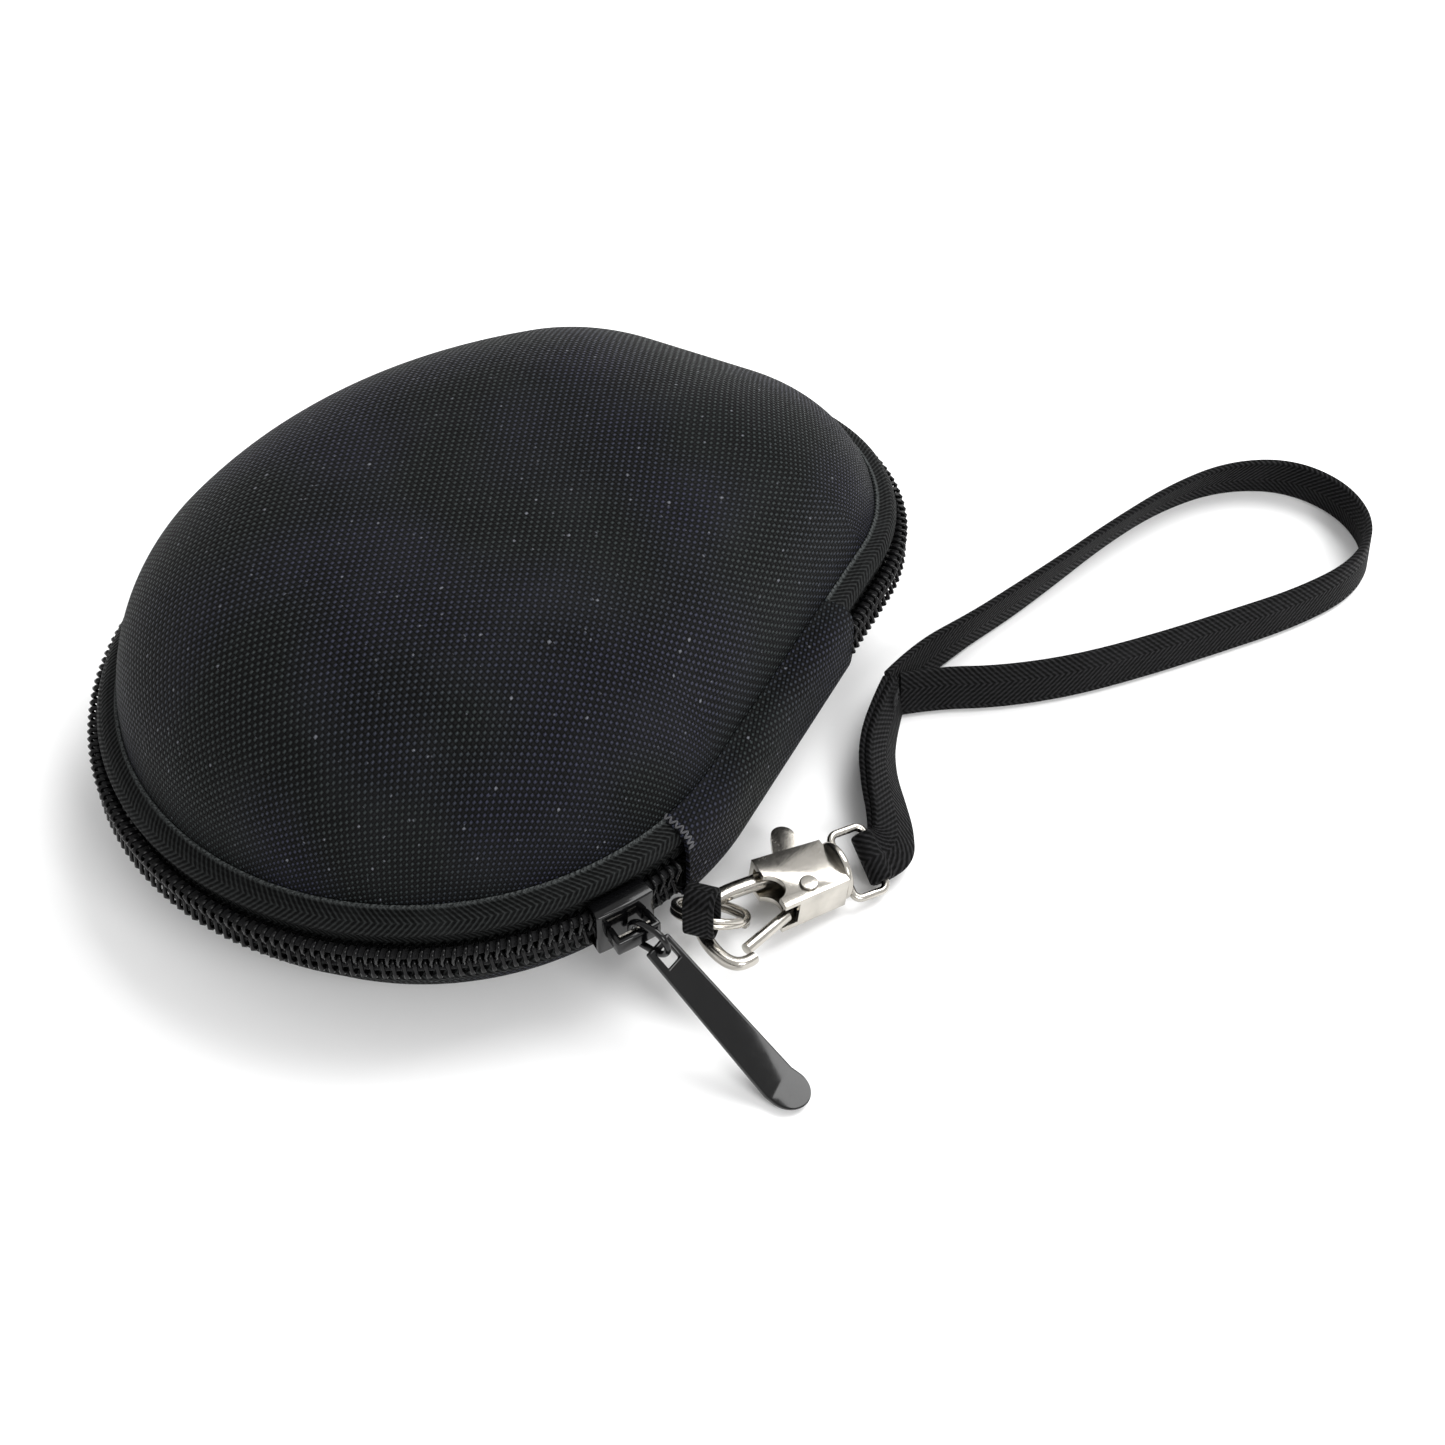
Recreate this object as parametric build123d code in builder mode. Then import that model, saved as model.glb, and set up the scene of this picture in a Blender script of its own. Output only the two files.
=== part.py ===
"""Zipped hard case with a clip-on wrist strap.

The frame: +Z up, the floor at Z = 0, +Y along the hinge side towards the narrow end, the hinge on
the +X side. The origin is on the floor, under the centre of the round front of the case, which is
also the axis that the zip slider travels round.
"""
import os
from math import atan2, cos, degrees, radians, sin, sqrt, tan

from build123d import *

os.makedirs("parts", exist_ok=True)

# ---- driving sizes of the case, in millimetres ---------------------------------------------
front_radius = 52.0  # round front, measured at the zip coil
case_length = 135.5  # from the front of the coil to its back
rear_right_radius = 32.0  # corner beside the hinge
rear_left_radius = 36.0
rear_left_reach = 53.2571590419  # from the left side's face to the centre of the rear left corner
split_height = 18.0  # the plane where lid and tray meet
lid_rise = 29.5  # ellipse that the lid's wall follows, above the flange
lid_run = 29.8
lid_lean = 14.0  # how far the lid's rear slope is drawn forward at the top
lean_power = 1.2
lid_top_angle = 75.0  # where the ellipse stops and the flat crown begins
tray_run = 9.0  # inward curve of the tray's wall
wall_steps = 8  # stations up each moulded wall

cover_thickness = 0.8  # woven outer fabric
shell_thickness = 3.0  # moulded foam board
lining_thickness = 0.6  # thin inner fabric
rim_gap = 0.3  # each rim stops this far from the split plane

# ---- zip ------------------------------------------------------------------------------------
coil_radius = 1.25
coil_gap = 0.5  # from the split plane to each row of the coil
tape_thickness = 0.8
tape_edge = 0.6  # from the split plane to the woven edge of each tape
flange_width = 5.2  # from the coil's outer face to the foot of the domed wall
flange_top = 6.7  # top of the tape above the split plane
ledge_plate = 1.3  # thickness of the foam flange under the tape
tape_round = 1.0  # outside corner of the tape where it turns down
front_zip_end = 21.0  # degrees ahead of the hinge side where the coil stops
rear_zip_end = 38.5  # where the coil starts again behind the hinge strip

# ---- hinge ----------------------------------------------------------------------------------
hinge_front = -14.2
hinge_rear = 38.0
hinge_cloth = 0.9
hinge_reach = 6.0  # above and below the split plane
hinge_inset = 0.3
cloth_gap = 0.1  # between the inner hinge cloth and the linings

# ---- slider and pull ------------------------------------------------------------------------
slider_angle = -29.5  # degrees, where the slider stands when the zip is closed
slider_half_turn = 5.0  # half of its length, as an angle about the front axis
plate_gap = 0.3  # between the coil and the outer plate
plate_thickness = 1.2
slider_half_height = 4.0
inner_half_height = 3.1
inner_plate_gap = 0.2
lip_gap = 0.2
lip_reach = 2.1
post_half_height = 0.4
post_half_turn = 1.4
crown_rise = 3.4
crown_wall = 1.0
crown_half_height = 1.3
crown_half_turn = 3.6
leaf_thickness = 0.3
leaf_half_height = 0.9

link_wire = 0.5  # radius of the link's wire
link_bend = 2.3  # radius of each round end, at the middle of the wire
link_straight = 1.8
link_offset = 0.8  # from the face of the outer plate to the middle of the wire
pull_heading = -9.0  # plan direction of the pull at rest, in degrees
pull_drop = 37.5  # degrees below level at rest
pull_length = 31.0  # from its pivot to the tip
pull_bar = (0.5, 1.5)  # the end bar that sits inside the link
pull_slot_end = 4.1
pull_neck_width = 4.6
pull_slot_width = 2.6
pull_width = 6.2
pull_thickness = 1.0
pull_kick_length = 4.5
pull_kick = 25.0  # degrees that the tip bends up

# ---- ring and tab ---------------------------------------------------------------------------
ring_radius = 5.4  # middle of the split ring's wire
ring_wire = 1.1
ring_height = 1.8
ring_slope = 38.0  # degrees from level
ring_heading = 100.0  # plan direction in which the ring slopes down
ring_seat = 1.0  # from the ring's centre to the hook's wire
tab_width = 4.8
tab_cloth = 0.7
tab_clearance = 0.55
tab_top = 18.2
tongue_front = -17.4
tongue_rear = -14.6
tongue_thickness = 0.8

# ---- trigger clasp --------------------------------------------------------------------------
clasp_reach = 8.8  # from the hinge side's outer face to the middle of the clasp
clasp_centre = Vector(front_radius + clasp_reach, -0.5, 5.8)
clasp_heading = 56.0  # plan direction from the hook towards the strap
clasp_pitch = 6.5  # degrees that the strap end is lower
hook_wire = 1.0  # radius
hook_back = 3.9  # from the clasp's axis to the far side of the hook's straight wire
hook_taper = 0.2  # how much nearer that side is where the hook starts to bend
hook_route = [
    (-2.6, hook_back - hook_wire), (-11.5, hook_back - hook_taper - hook_wire),
    (-17.4, -1.8), (-17.4, -8.2), (-13.0, -9.4),
]
hook_bends = [5.0, 4.0, 2.2]
hook_rest = (-14.2, 0.7)  # where the ring lies in the hook
housing_front = -5.4
housing_rear = 6.0
housing_front_half = 5.1
housing_rear_half = 4.4
housing_half_height = 2.8
sheet = 0.9
gate_pivot = (0.0, -2.5)
gate_tip = (-13.2, -7.6)
gate_radius = 0.9
gate_root = (-4.6, -4.5)  # where the round bar of the gate starts
gate_plate = [(-1.5, -2.0), (1.6, -2.4), (2.2, 4.6), (4.6, 8.6), (1.0, 9.6), (-1.4, 4.6)]
gate_arm = [(0, -3.6), (-2.7, -3.7), (-5.2, -5.4), (-4.6, -3.4), (0, -0.9)]
thumb_pad = (2.8, 9.1)
thumb_radius = 1.85
lever_slot_front = -1.9
mouth_depth = 0.4  # how far the round cut's centre lies ahead of the housing
mouth_side = -0.9
mouth_radius = 2.4
gate_hub = 1.25
lever_half_height = 0.5
lever_gap = 0.2
rivet_radius = 0.8
rivet_head = 1.4
rivet_head_height = 0.4
spring_radius = 1.25
spring_height = 1.0
collar_radius = 4.5
collar_thickness = 1.1
post_radius = 1.3
post_head_radius = 1.8
post_head_height = 0.7
bail_thickness = 1.2
bail_half_width = 5.8
bail_reach = 7.0
bail_roll = 28.0
running_fit = 0.05

# ---- wrist strap ----------------------------------------------------------------------------
strap_width = 8.0
strap_thickness = 1.2
strap_lift = 0.3  # clearance under the strap, which stands on its edge
neck_thickness = 2.4
fold_clearance = 0.2
neck_route = [(69.3, 12.9), (65.2, 18.2), (61.0, 26.0), (58.2, 34.5), (57.3, 43.0)]
loop_route = [
    (56.5, 43.4), (58.1, 51.5), (61.9, 60.5), (66.2, 70.5), (70.6, 82.0), (75.2, 95.0),
    (80.8, 107.8), (88.3, 118.3), (98.6, 123.8), (109.4, 121.6), (116.4, 113.6), (116.3, 102.8),
    (109.6, 91.4), (100.6, 80.6), (91.2, 69.6), (81.4, 59.4), (71.6, 51.9), (63.2, 47.4),
    (58.3, 43.5),
]
stitch_length = 1.6
stitch_thickness = 0.3
stitch_rows = 5
stitch_backs = (1.3, 3.6)  # from the neck's end to each column of stitches

# ---- sizes worked out from those above --------------------------------------------------------
rear_right_x = front_radius - rear_right_radius
rear_y = case_length - front_radius
rear_left_x = rear_left_reach - front_radius
flange_plate_top = flange_top - tape_thickness
tape_inset = 2 * coil_radius
coil_height = coil_gap + coil_radius
coil_inset = coil_radius
shell_inset = flange_width + cover_thickness
split_plane = Plane.XY.offset(split_height)
plate_inner = front_radius + plate_gap
plate_outer = plate_inner + plate_thickness
tape_back = front_radius - tape_inset - tape_thickness
inner_plate_outer = tape_back - inner_plate_gap
crown_outer = plate_outer + crown_rise
lip_bottom = coil_gap + 2 * coil_radius + lip_gap
strap_height = strap_lift + strap_width / 2


# ---- shared shapes ----------------------------------------------------------------------------
def rear_centres(lean):
    """Y of the centres of the rear right and rear left corners."""
    return rear_y - rear_right_radius - lean, rear_y - rear_left_radius - lean


def left_side(lean):
    """Centre along X, radius and upper angle of the arc that joins the front to the rear left."""
    left_y = rear_centres(lean)[1]
    radius = (rear_left_reach**2 + left_y**2 - rear_left_radius**2) / (
        2 * (rear_left_reach - rear_left_radius)
    )
    centre = radius - front_radius
    return centre, radius, degrees(atan2(left_y, rear_left_x - centre))


def case_outline(inset, lean=0.0):
    """Closed outline of the case, moved inwards by inset, with its rear drawn forward by lean."""
    right_y, left_y = rear_centres(lean)
    centre, radius, left_angle = left_side(lean)
    with BuildLine() as outline:
        Line((front_radius - inset, 0), (front_radius - inset, right_y))
        corner = CenterArc((rear_right_x, right_y), rear_right_radius - inset, 0, 90)
        far = CenterArc((rear_left_x, left_y), rear_left_radius - inset, 90, left_angle - 90)
        Line(corner @ 1, far @ 0)
        CenterArc((centre, 0), radius - inset, left_angle, 180 - left_angle)
        CenterArc((0, 0), front_radius - inset, 180, 180)
    return outline.line


def zip_path():
    """Line of the zip's face: from behind the hinge strip, round the rear, to the front end."""
    right_y, left_y = rear_centres(0)
    centre, radius, left_angle = left_side(0)
    with BuildLine(split_plane) as route:
        Line((front_radius, rear_zip_end), (front_radius, right_y))
        corner = CenterArc((rear_right_x, right_y), rear_right_radius, 0, 90)
        far = CenterArc((rear_left_x, left_y), rear_left_radius, 90, left_angle - 90)
        Line(corner @ 1, far @ 0)
        CenterArc((centre, 0), radius, left_angle, 180 - left_angle)
        CenterArc((0, 0), front_radius, 180, 180 - front_zip_end)
    return route.line


def lid_station(step, depth):
    """Height above the split plane, inset and lean of one station of the lid's wall."""
    angle = radians(lid_top_angle * step / wall_steps)
    rise = (lid_rise - depth) * sin(angle)
    inset = flange_width + depth + (lid_run - depth) * (1 - cos(angle))
    return flange_plate_top + rise, inset, lid_lean * sin(angle) ** lean_power


def tray_station(step, depth):
    """Height below the split plane, inset and lean of one station of the tray's wall."""
    angle = radians(90 * step / wall_steps)
    drop = (split_height - flange_plate_top - depth) * sin(angle)
    return -flange_plate_top - drop, flange_width + depth + tray_run * (1 - cos(angle)), 0.0


def moulded_block(station, depth, rim):
    """Solid inside a moulded wall: straight from the rim to the flange, then up its stations."""
    with BuildPart() as block:
        with BuildSketch(split_plane.offset(rim)):
            make_face(case_outline(flange_width + depth))
        for step in range(wall_steps + 1):
            height, inset, lean = station(step, depth)
            with BuildSketch(split_plane.offset(height)):
                make_face(case_outline(inset, lean))
        loft(ruled=True)
    return block.part


def sector(inner, outer, middle, half_turn):
    """Flat piece of a ring about the front axis, between two radii."""
    start = middle - half_turn
    with BuildLine() as edge:
        inside = CenterArc((0, 0), inner, start, 2 * half_turn)
        outside = CenterArc((0, 0), outer, start, 2 * half_turn)
        Line(inside @ 0, outside @ 0)
        Line(inside @ 1, outside @ 1)
    return edge.line


def hinge_zone(front, rear):
    """Box over the hinge side, between two places along Y."""
    return Box(front_radius, rear - front, 4 * split_height).moved(
        Location((front_radius, (front + rear) / 2, split_height))
    )


lining_depth = cover_thickness + shell_thickness
inner_depth = lining_depth + lining_thickness

lid_blocks = [
    moulded_block(lid_station, 0, rim_gap),
    moulded_block(lid_station, cover_thickness, rim_gap),
    moulded_block(lid_station, lining_depth, rim_gap),
    moulded_block(lid_station, inner_depth, rim_gap),
]
tray_blocks = [
    moulded_block(tray_station, 0, -rim_gap),
    moulded_block(tray_station, cover_thickness, -rim_gap),
    moulded_block(tray_station, lining_depth, -rim_gap),
    moulded_block(tray_station, inner_depth, -rim_gap),
]

# ---- lid: cover, shell, lining ----------------------------------------------------------------
with BuildPart() as upper_cover:
    add(lid_blocks[0])
    add(lid_blocks[1], mode=Mode.SUBTRACT)
    with BuildSketch(split_plane):
        make_face(case_outline(0))
    extrude(amount=flange_plate_top, mode=Mode.SUBTRACT)
upper_cover.part.label = "upper_cover"
export_step(upper_cover.part, "parts/upper_cover.step")

with BuildPart() as upper_shell:
    add(lid_blocks[1])
    with BuildSketch(split_plane.offset(flange_plate_top - ledge_plate)):
        make_face(case_outline(tape_inset + tape_thickness))
        make_face(case_outline(shell_inset), mode=Mode.SUBTRACT)
    extrude(amount=ledge_plate)
    add(lid_blocks[2], mode=Mode.SUBTRACT)
upper_shell.part.label = "upper_shell"
export_step(upper_shell.part, "parts/upper_shell.step")

with BuildPart() as upper_lining:
    add(lid_blocks[2])
    add(lid_blocks[3], mode=Mode.SUBTRACT)
upper_lining.part.label = "upper_lining"
export_step(upper_lining.part, "parts/upper_lining.step")

# ---- tray: cover, shell, lining -----------------------------------------------------------------
with BuildPart() as lower_cover:
    add(tray_blocks[0])
    add(tray_blocks[1], mode=Mode.SUBTRACT)
    with BuildSketch(split_plane):
        make_face(case_outline(0))
    extrude(amount=-flange_plate_top, mode=Mode.SUBTRACT)
lower_cover.part.label = "lower_cover"
export_step(lower_cover.part, "parts/lower_cover.step")

with BuildPart() as lower_shell:
    add(tray_blocks[1])
    with BuildSketch(split_plane.offset(-flange_plate_top)):
        make_face(case_outline(tape_inset + tape_thickness))
        make_face(case_outline(shell_inset), mode=Mode.SUBTRACT)
    extrude(amount=ledge_plate)
    add(tray_blocks[2], mode=Mode.SUBTRACT)
lower_shell.part.label = "lower_shell"
export_step(lower_shell.part, "parts/lower_shell.step")

with BuildPart() as lower_lining:
    add(tray_blocks[2])
    add(tray_blocks[3], mode=Mode.SUBTRACT)
lower_lining.part.label = "lower_lining"
export_step(lower_lining.part, "parts/lower_lining.step")


# ---- zip tapes and coils ------------------------------------------------------------------------
def tape_profile(side):
    """Section of a tape in the plane across the zip's start: X is inset, Y is height."""
    outer = tape_inset
    top = side * flange_top
    with BuildLine() as profile:
        Line((outer, side * tape_edge), (outer, top - side * tape_round))
        Line((outer, top - side * tape_round), (outer + tape_round, top))
        Line((outer + tape_round, top), (flange_width, top))
        Line((flange_width, top), (flange_width, top - side * tape_thickness))
        Line(
            (flange_width, top - side * tape_thickness),
            (outer + tape_thickness, top - side * tape_thickness),
        )
        Line(
            (outer + tape_thickness, top - side * tape_thickness),
            (outer + tape_thickness, side * tape_edge),
        )
        Line((outer + tape_thickness, side * tape_edge), (outer, side * tape_edge))
    return profile.line


zip_start = Plane(
    origin=(front_radius, rear_zip_end, split_height), x_dir=(-1, 0, 0), z_dir=(0, 1, 0)
)

with BuildPart() as upper_zip_tape:
    with BuildSketch(zip_start):
        make_face(tape_profile(1))
    sweep(path=zip_path())
upper_zip_tape.part.label = "upper_zip_tape"
export_step(upper_zip_tape.part, "parts/upper_zip_tape.step")

with BuildPart() as lower_zip_tape:
    with BuildSketch(zip_start):
        make_face(tape_profile(-1))
    sweep(path=zip_path())
lower_zip_tape.part.label = "lower_zip_tape"
export_step(lower_zip_tape.part, "parts/lower_zip_tape.step")

with BuildPart() as upper_zip_coil:
    with BuildSketch(zip_start):
        with Locations((coil_inset, coil_height)):
            Circle(coil_radius)
    sweep(path=zip_path())
upper_zip_coil.part.label = "upper_zip_coil"
export_step(upper_zip_coil.part, "parts/upper_zip_coil.step")

with BuildPart() as lower_zip_coil:
    with BuildSketch(zip_start):
        with Locations((coil_inset, -coil_height)):
            Circle(coil_radius)
    sweep(path=zip_path())
lower_zip_coil.part.label = "lower_zip_coil"
export_step(lower_zip_coil.part, "parts/lower_zip_coil.step")


# ---- hinge: outer strip and inner lining, both of cloth --------------------------------------------
with BuildPart() as hinge_strip:
    with BuildSketch(split_plane.offset(-flange_top)):
        make_face(case_outline(hinge_inset))
        make_face(case_outline(flange_width), mode=Mode.SUBTRACT)
    extrude(amount=2 * flange_top)
    with BuildSketch(split_plane.offset(-flange_plate_top)):
        make_face(case_outline(hinge_inset + hinge_cloth))
    extrude(amount=2 * flange_plate_top, mode=Mode.SUBTRACT)
    add(hinge_zone(hinge_front, hinge_rear), mode=Mode.INTERSECT)
hinge_strip.part.label = "hinge_strip"
export_step(hinge_strip.part, "parts/hinge_strip.step")

hinge_cloth_inset = flange_width + inner_depth + cloth_gap
with BuildPart() as hinge_lining:
    with BuildSketch(split_plane.offset(-hinge_reach)):
        make_face(case_outline(hinge_cloth_inset))
        make_face(case_outline(hinge_cloth_inset + lining_thickness), mode=Mode.SUBTRACT)
    extrude(amount=2 * hinge_reach)
    add(hinge_zone(hinge_front, hinge_rear), mode=Mode.INTERSECT)
hinge_lining.part.label = "hinge_lining"
export_step(hinge_lining.part, "parts/hinge_lining.step")

# ---- slider: body, crown and lock leaf -----------------------------------------------------------
with BuildPart() as slider_body:
    with BuildSketch(split_plane.offset(-slider_half_height)):
        make_face(sector(plate_inner, plate_outer, slider_angle, slider_half_turn))
    extrude(amount=2 * slider_half_height)
    for base in (lip_bottom, -slider_half_height):
        with BuildSketch(split_plane.offset(base)):
            make_face(sector(plate_inner - lip_reach, plate_inner, slider_angle, slider_half_turn))
        extrude(amount=slider_half_height - lip_bottom)
    with BuildSketch(split_plane.offset(-inner_half_height)):
        make_face(
            sector(
                inner_plate_outer - plate_thickness,
                inner_plate_outer,
                slider_angle,
                slider_half_turn,
            )
        )
    extrude(amount=2 * inner_half_height)
    with BuildSketch(split_plane.offset(-post_half_height)):
        nose = slider_angle + slider_half_turn - post_half_turn
        make_face(sector(inner_plate_outer, plate_inner, nose, post_half_turn))
    extrude(amount=2 * post_half_height)
slider_body.part.label = "slider_body"
export_step(slider_body.part, "parts/slider_body.step")

window_half_turn = crown_half_turn - degrees(crown_wall / crown_outer)
with BuildPart() as slider_crown:
    with BuildSketch(split_plane.offset(-crown_half_height)):
        make_face(sector(plate_outer, crown_outer, slider_angle, crown_half_turn))
        make_face(
            sector(plate_outer, crown_outer - crown_wall, slider_angle, window_half_turn),
            mode=Mode.SUBTRACT,
        )
    extrude(amount=2 * crown_half_height)
slider_crown.part.label = "slider_crown"
export_step(slider_crown.part, "parts/slider_crown.step")

with BuildPart() as lock_leaf:
    with BuildSketch(split_plane.offset(-leaf_half_height)):
        leaf_outer = crown_outer - crown_wall - leaf_thickness
        make_face(
            sector(leaf_outer - leaf_thickness, leaf_outer, slider_angle, window_half_turn)
        )
    extrude(amount=2 * leaf_half_height)
lock_leaf.part.label = "lock_leaf"
export_step(lock_leaf.part, "parts/lock_leaf.step")

# ---- link and pull ------------------------------------------------------------------------------
wire_radius_out = plate_outer + link_offset
link_root = Vector(
    wire_radius_out * cos(radians(slider_angle)),
    wire_radius_out * sin(radians(slider_angle)),
    split_height,
)
pull_along = Vector(cos(radians(pull_heading)), sin(radians(pull_heading)), 0)
pull_across = Vector(sin(radians(pull_heading)), -cos(radians(pull_heading)), 0)
link_plane = Plane(origin=link_root, x_dir=pull_along, z_dir=pull_across)

with BuildPart() as link_ring:
    with BuildLine(link_plane) as link_path:
        far_middle = link_bend + link_straight
        first = CenterArc((link_bend, 0), link_bend, 90, 180)
        second = CenterArc((far_middle, 0), link_bend, -90, 180)
        Line(first @ 1, second @ 0)
        Line(second @ 1, first @ 0)
    with BuildSketch(Plane(origin=link_path.line @ 0, z_dir=link_path.line % 0)):
        Circle(link_wire)
    sweep()
link_ring.part.label = "link_ring"
export_step(link_ring.part, "parts/link_ring.step")

pull_pivot = link_root + pull_along * (link_bend + link_straight)
drop = radians(pull_drop)
pull_dir = pull_along * cos(drop) + Vector(0, 0, -sin(drop))
pull_side = Plane(origin=pull_pivot, x_dir=pull_dir, z_dir=pull_across)
pull_face = Plane(origin=pull_pivot, x_dir=pull_dir, z_dir=pull_across.cross(pull_dir) * -1)
kick_start = pull_length - pull_kick_length
kick = radians(pull_kick)

with BuildPart() as zip_pull:
    with BuildSketch(pull_face):
        with BuildLine():
            neck_half = pull_neck_width / 2
            tip_half = pull_width / 2
            bend = pull_length - tip_half
            Polyline((bend, tip_half), (pull_bar[0], neck_half), (pull_bar[0], -neck_half),
                     (bend, -tip_half))
            CenterArc((bend, 0), tip_half, -90, 180)
        make_face()
        slot_length = pull_slot_end - pull_bar[1]
        with Locations(((pull_bar[1] + pull_slot_end) / 2, 0)):
            Rectangle(slot_length, pull_slot_width, mode=Mode.SUBTRACT)
    extrude(amount=pull_width, both=True)
    side = 1 if pull_side.y_dir.Z > 0 else -1
    with BuildSketch(pull_side):
        with BuildLine():
            half = pull_thickness / 2
            rise = pull_kick_length * tan(kick) * side
            Polyline(
                (pull_bar[0], -half), (kick_start, -half), (pull_length, -half + rise),
                (pull_length, half + rise), (kick_start, half), (pull_bar[0], half), close=True,
            )
        make_face()
    extrude(amount=pull_width, both=True, mode=Mode.INTERSECT)
zip_pull.part.label = "zip_pull"
export_step(zip_pull.part, "parts/zip_pull.step")

# ---- clasp frame ----------------------------------------------------------------------------------
heading = radians(clasp_heading)
pitch = radians(clasp_pitch)
clasp_axis = Vector(cos(heading) * cos(pitch), sin(heading) * cos(pitch), -sin(pitch))
clasp_across = Vector(-sin(heading), cos(heading), 0)
clasp_up = clasp_axis.cross(clasp_across)
clasp_plane = Plane(origin=clasp_centre, x_dir=clasp_axis, z_dir=clasp_up)


def across_clasp(distance):
    """Plane square to the clasp's own axis, a distance along it from the middle of the housing."""
    return Plane(origin=clasp_centre + clasp_axis * distance, x_dir=clasp_across, z_dir=clasp_axis)


with BuildPart() as clasp_hook:
    with BuildLine(clasp_plane) as hook_path:
        FilletPolyline(*hook_route, radius=hook_bends)
    with BuildSketch(Plane(origin=hook_path.line @ 0, z_dir=hook_path.line % 0)):
        Circle(hook_wire)
    sweep()
clasp_hook.part.label = "clasp_hook"
export_step(clasp_hook.part, "parts/clasp_hook.step")

with BuildPart() as clasp_housing:
    with BuildSketch(clasp_plane.offset(-housing_half_height)):
        Polygon(
            (housing_front, -housing_front_half), (housing_rear, -housing_rear_half),
            (housing_rear, housing_rear_half), (housing_front, housing_front_half), align=None,
        )
    extrude(amount=2 * housing_half_height)
    with BuildSketch(clasp_plane.offset(-housing_half_height + sheet)):
        Polygon(
            (housing_front - sheet, -housing_front_half - sheet),
            (housing_front + 3 * sheet, -housing_front_half - sheet),
            (housing_front + 3 * sheet, -housing_front_half + sheet),
            (housing_rear - sheet, -housing_rear_half + sheet),
            (housing_rear - sheet, housing_rear_half - sheet),
            (housing_front - sheet, housing_front_half - sheet), align=None,
        )
    extrude(amount=2 * (housing_half_height - sheet), mode=Mode.SUBTRACT)
    with BuildSketch(clasp_plane.offset(-lever_half_height - lever_gap)):
        Polygon(
            (lever_slot_front, 0), (housing_rear - sheet, 0),
            (housing_rear - sheet, 2 * housing_rear_half),
            (lever_slot_front, 2 * housing_rear_half), align=None,
        )
    extrude(amount=2 * (lever_half_height + lever_gap), mode=Mode.SUBTRACT)
    with BuildSketch(clasp_plane.offset(-housing_half_height)):
        with Locations((housing_front - mouth_depth, mouth_side)):
            Circle(mouth_radius)
    extrude(amount=2 * housing_half_height, mode=Mode.SUBTRACT)
    with BuildSketch(clasp_plane.offset(-housing_half_height)):
        with Locations(gate_pivot):
            Circle(rivet_radius)
    extrude(amount=2 * housing_half_height, mode=Mode.SUBTRACT)
    with BuildSketch(across_clasp(housing_rear - 2 * sheet)):
        Circle(post_radius + running_fit)
    extrude(amount=3 * sheet, mode=Mode.SUBTRACT)
clasp_housing.part.label = "clasp_housing"
export_step(clasp_housing.part, "parts/clasp_housing.step")

with BuildPart() as gate_lever:
    with BuildSketch(clasp_plane.offset(-lever_half_height)):
        with Locations(gate_pivot):
            Circle(gate_hub)
        Polygon(*gate_plate, align=None)
        with Locations(thumb_pad):
            Circle(thumb_radius)
        Polygon(*gate_arm, align=None)
        with Locations(gate_pivot):
            Circle(rivet_radius + running_fit, mode=Mode.SUBTRACT)
    extrude(amount=2 * lever_half_height)
    with BuildLine(clasp_plane) as bar_path:
        Line(gate_root, gate_tip)
    with BuildSketch(Plane(origin=bar_path.line @ 0, z_dir=bar_path.line % 0)):
        Circle(gate_radius)
    sweep(path=bar_path.line)
gate_lever.part.label = "gate_lever"
export_step(gate_lever.part, "parts/gate_lever.step")

with BuildPart() as gate_rivet:
    with BuildSketch(clasp_plane.offset(-housing_half_height)):
        with Locations(gate_pivot):
            Circle(rivet_radius)
    extrude(amount=2 * housing_half_height)
    for base in (housing_half_height, -housing_half_height - rivet_head_height):
        with BuildSketch(clasp_plane.offset(base)):
            with Locations(gate_pivot):
                Circle(rivet_head)
        extrude(amount=rivet_head_height)
gate_rivet.part.label = "gate_rivet"
export_step(gate_rivet.part, "parts/gate_rivet.step")

with BuildPart() as gate_spring:
    with BuildSketch(clasp_plane.offset(lever_half_height + lever_gap)):
        with Locations(gate_pivot):
            Circle(spring_radius)
            Circle(rivet_radius + running_fit, mode=Mode.SUBTRACT)
    extrude(amount=spring_height)
gate_spring.part.label = "gate_spring"
export_step(gate_spring.part, "parts/gate_spring.step")

# ---- swivel: collar, post and bail ----------------------------------------------------------------
collar_start = housing_rear
bail_start = collar_start + collar_thickness + running_fit
bail_end = bail_start + bail_reach
with BuildPart() as collar:
    with BuildSketch(across_clasp(collar_start)):
        Circle(collar_radius)
        Circle(post_radius + running_fit, mode=Mode.SUBTRACT)
    extrude(amount=collar_thickness)
collar.part.label = "collar"
export_step(collar.part, "parts/collar.step")

post_start = housing_rear - sheet - running_fit
with BuildPart() as swivel_post:
    with BuildSketch(across_clasp(post_start - post_head_height)):
        Circle(post_head_radius)
    extrude(amount=post_head_height)
    with BuildSketch(across_clasp(post_start)):
        Circle(post_radius)
    extrude(amount=bail_start - post_start)
swivel_post.part.label = "swivel_post"
export_step(swivel_post.part, "parts/swivel_post.step")

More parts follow.
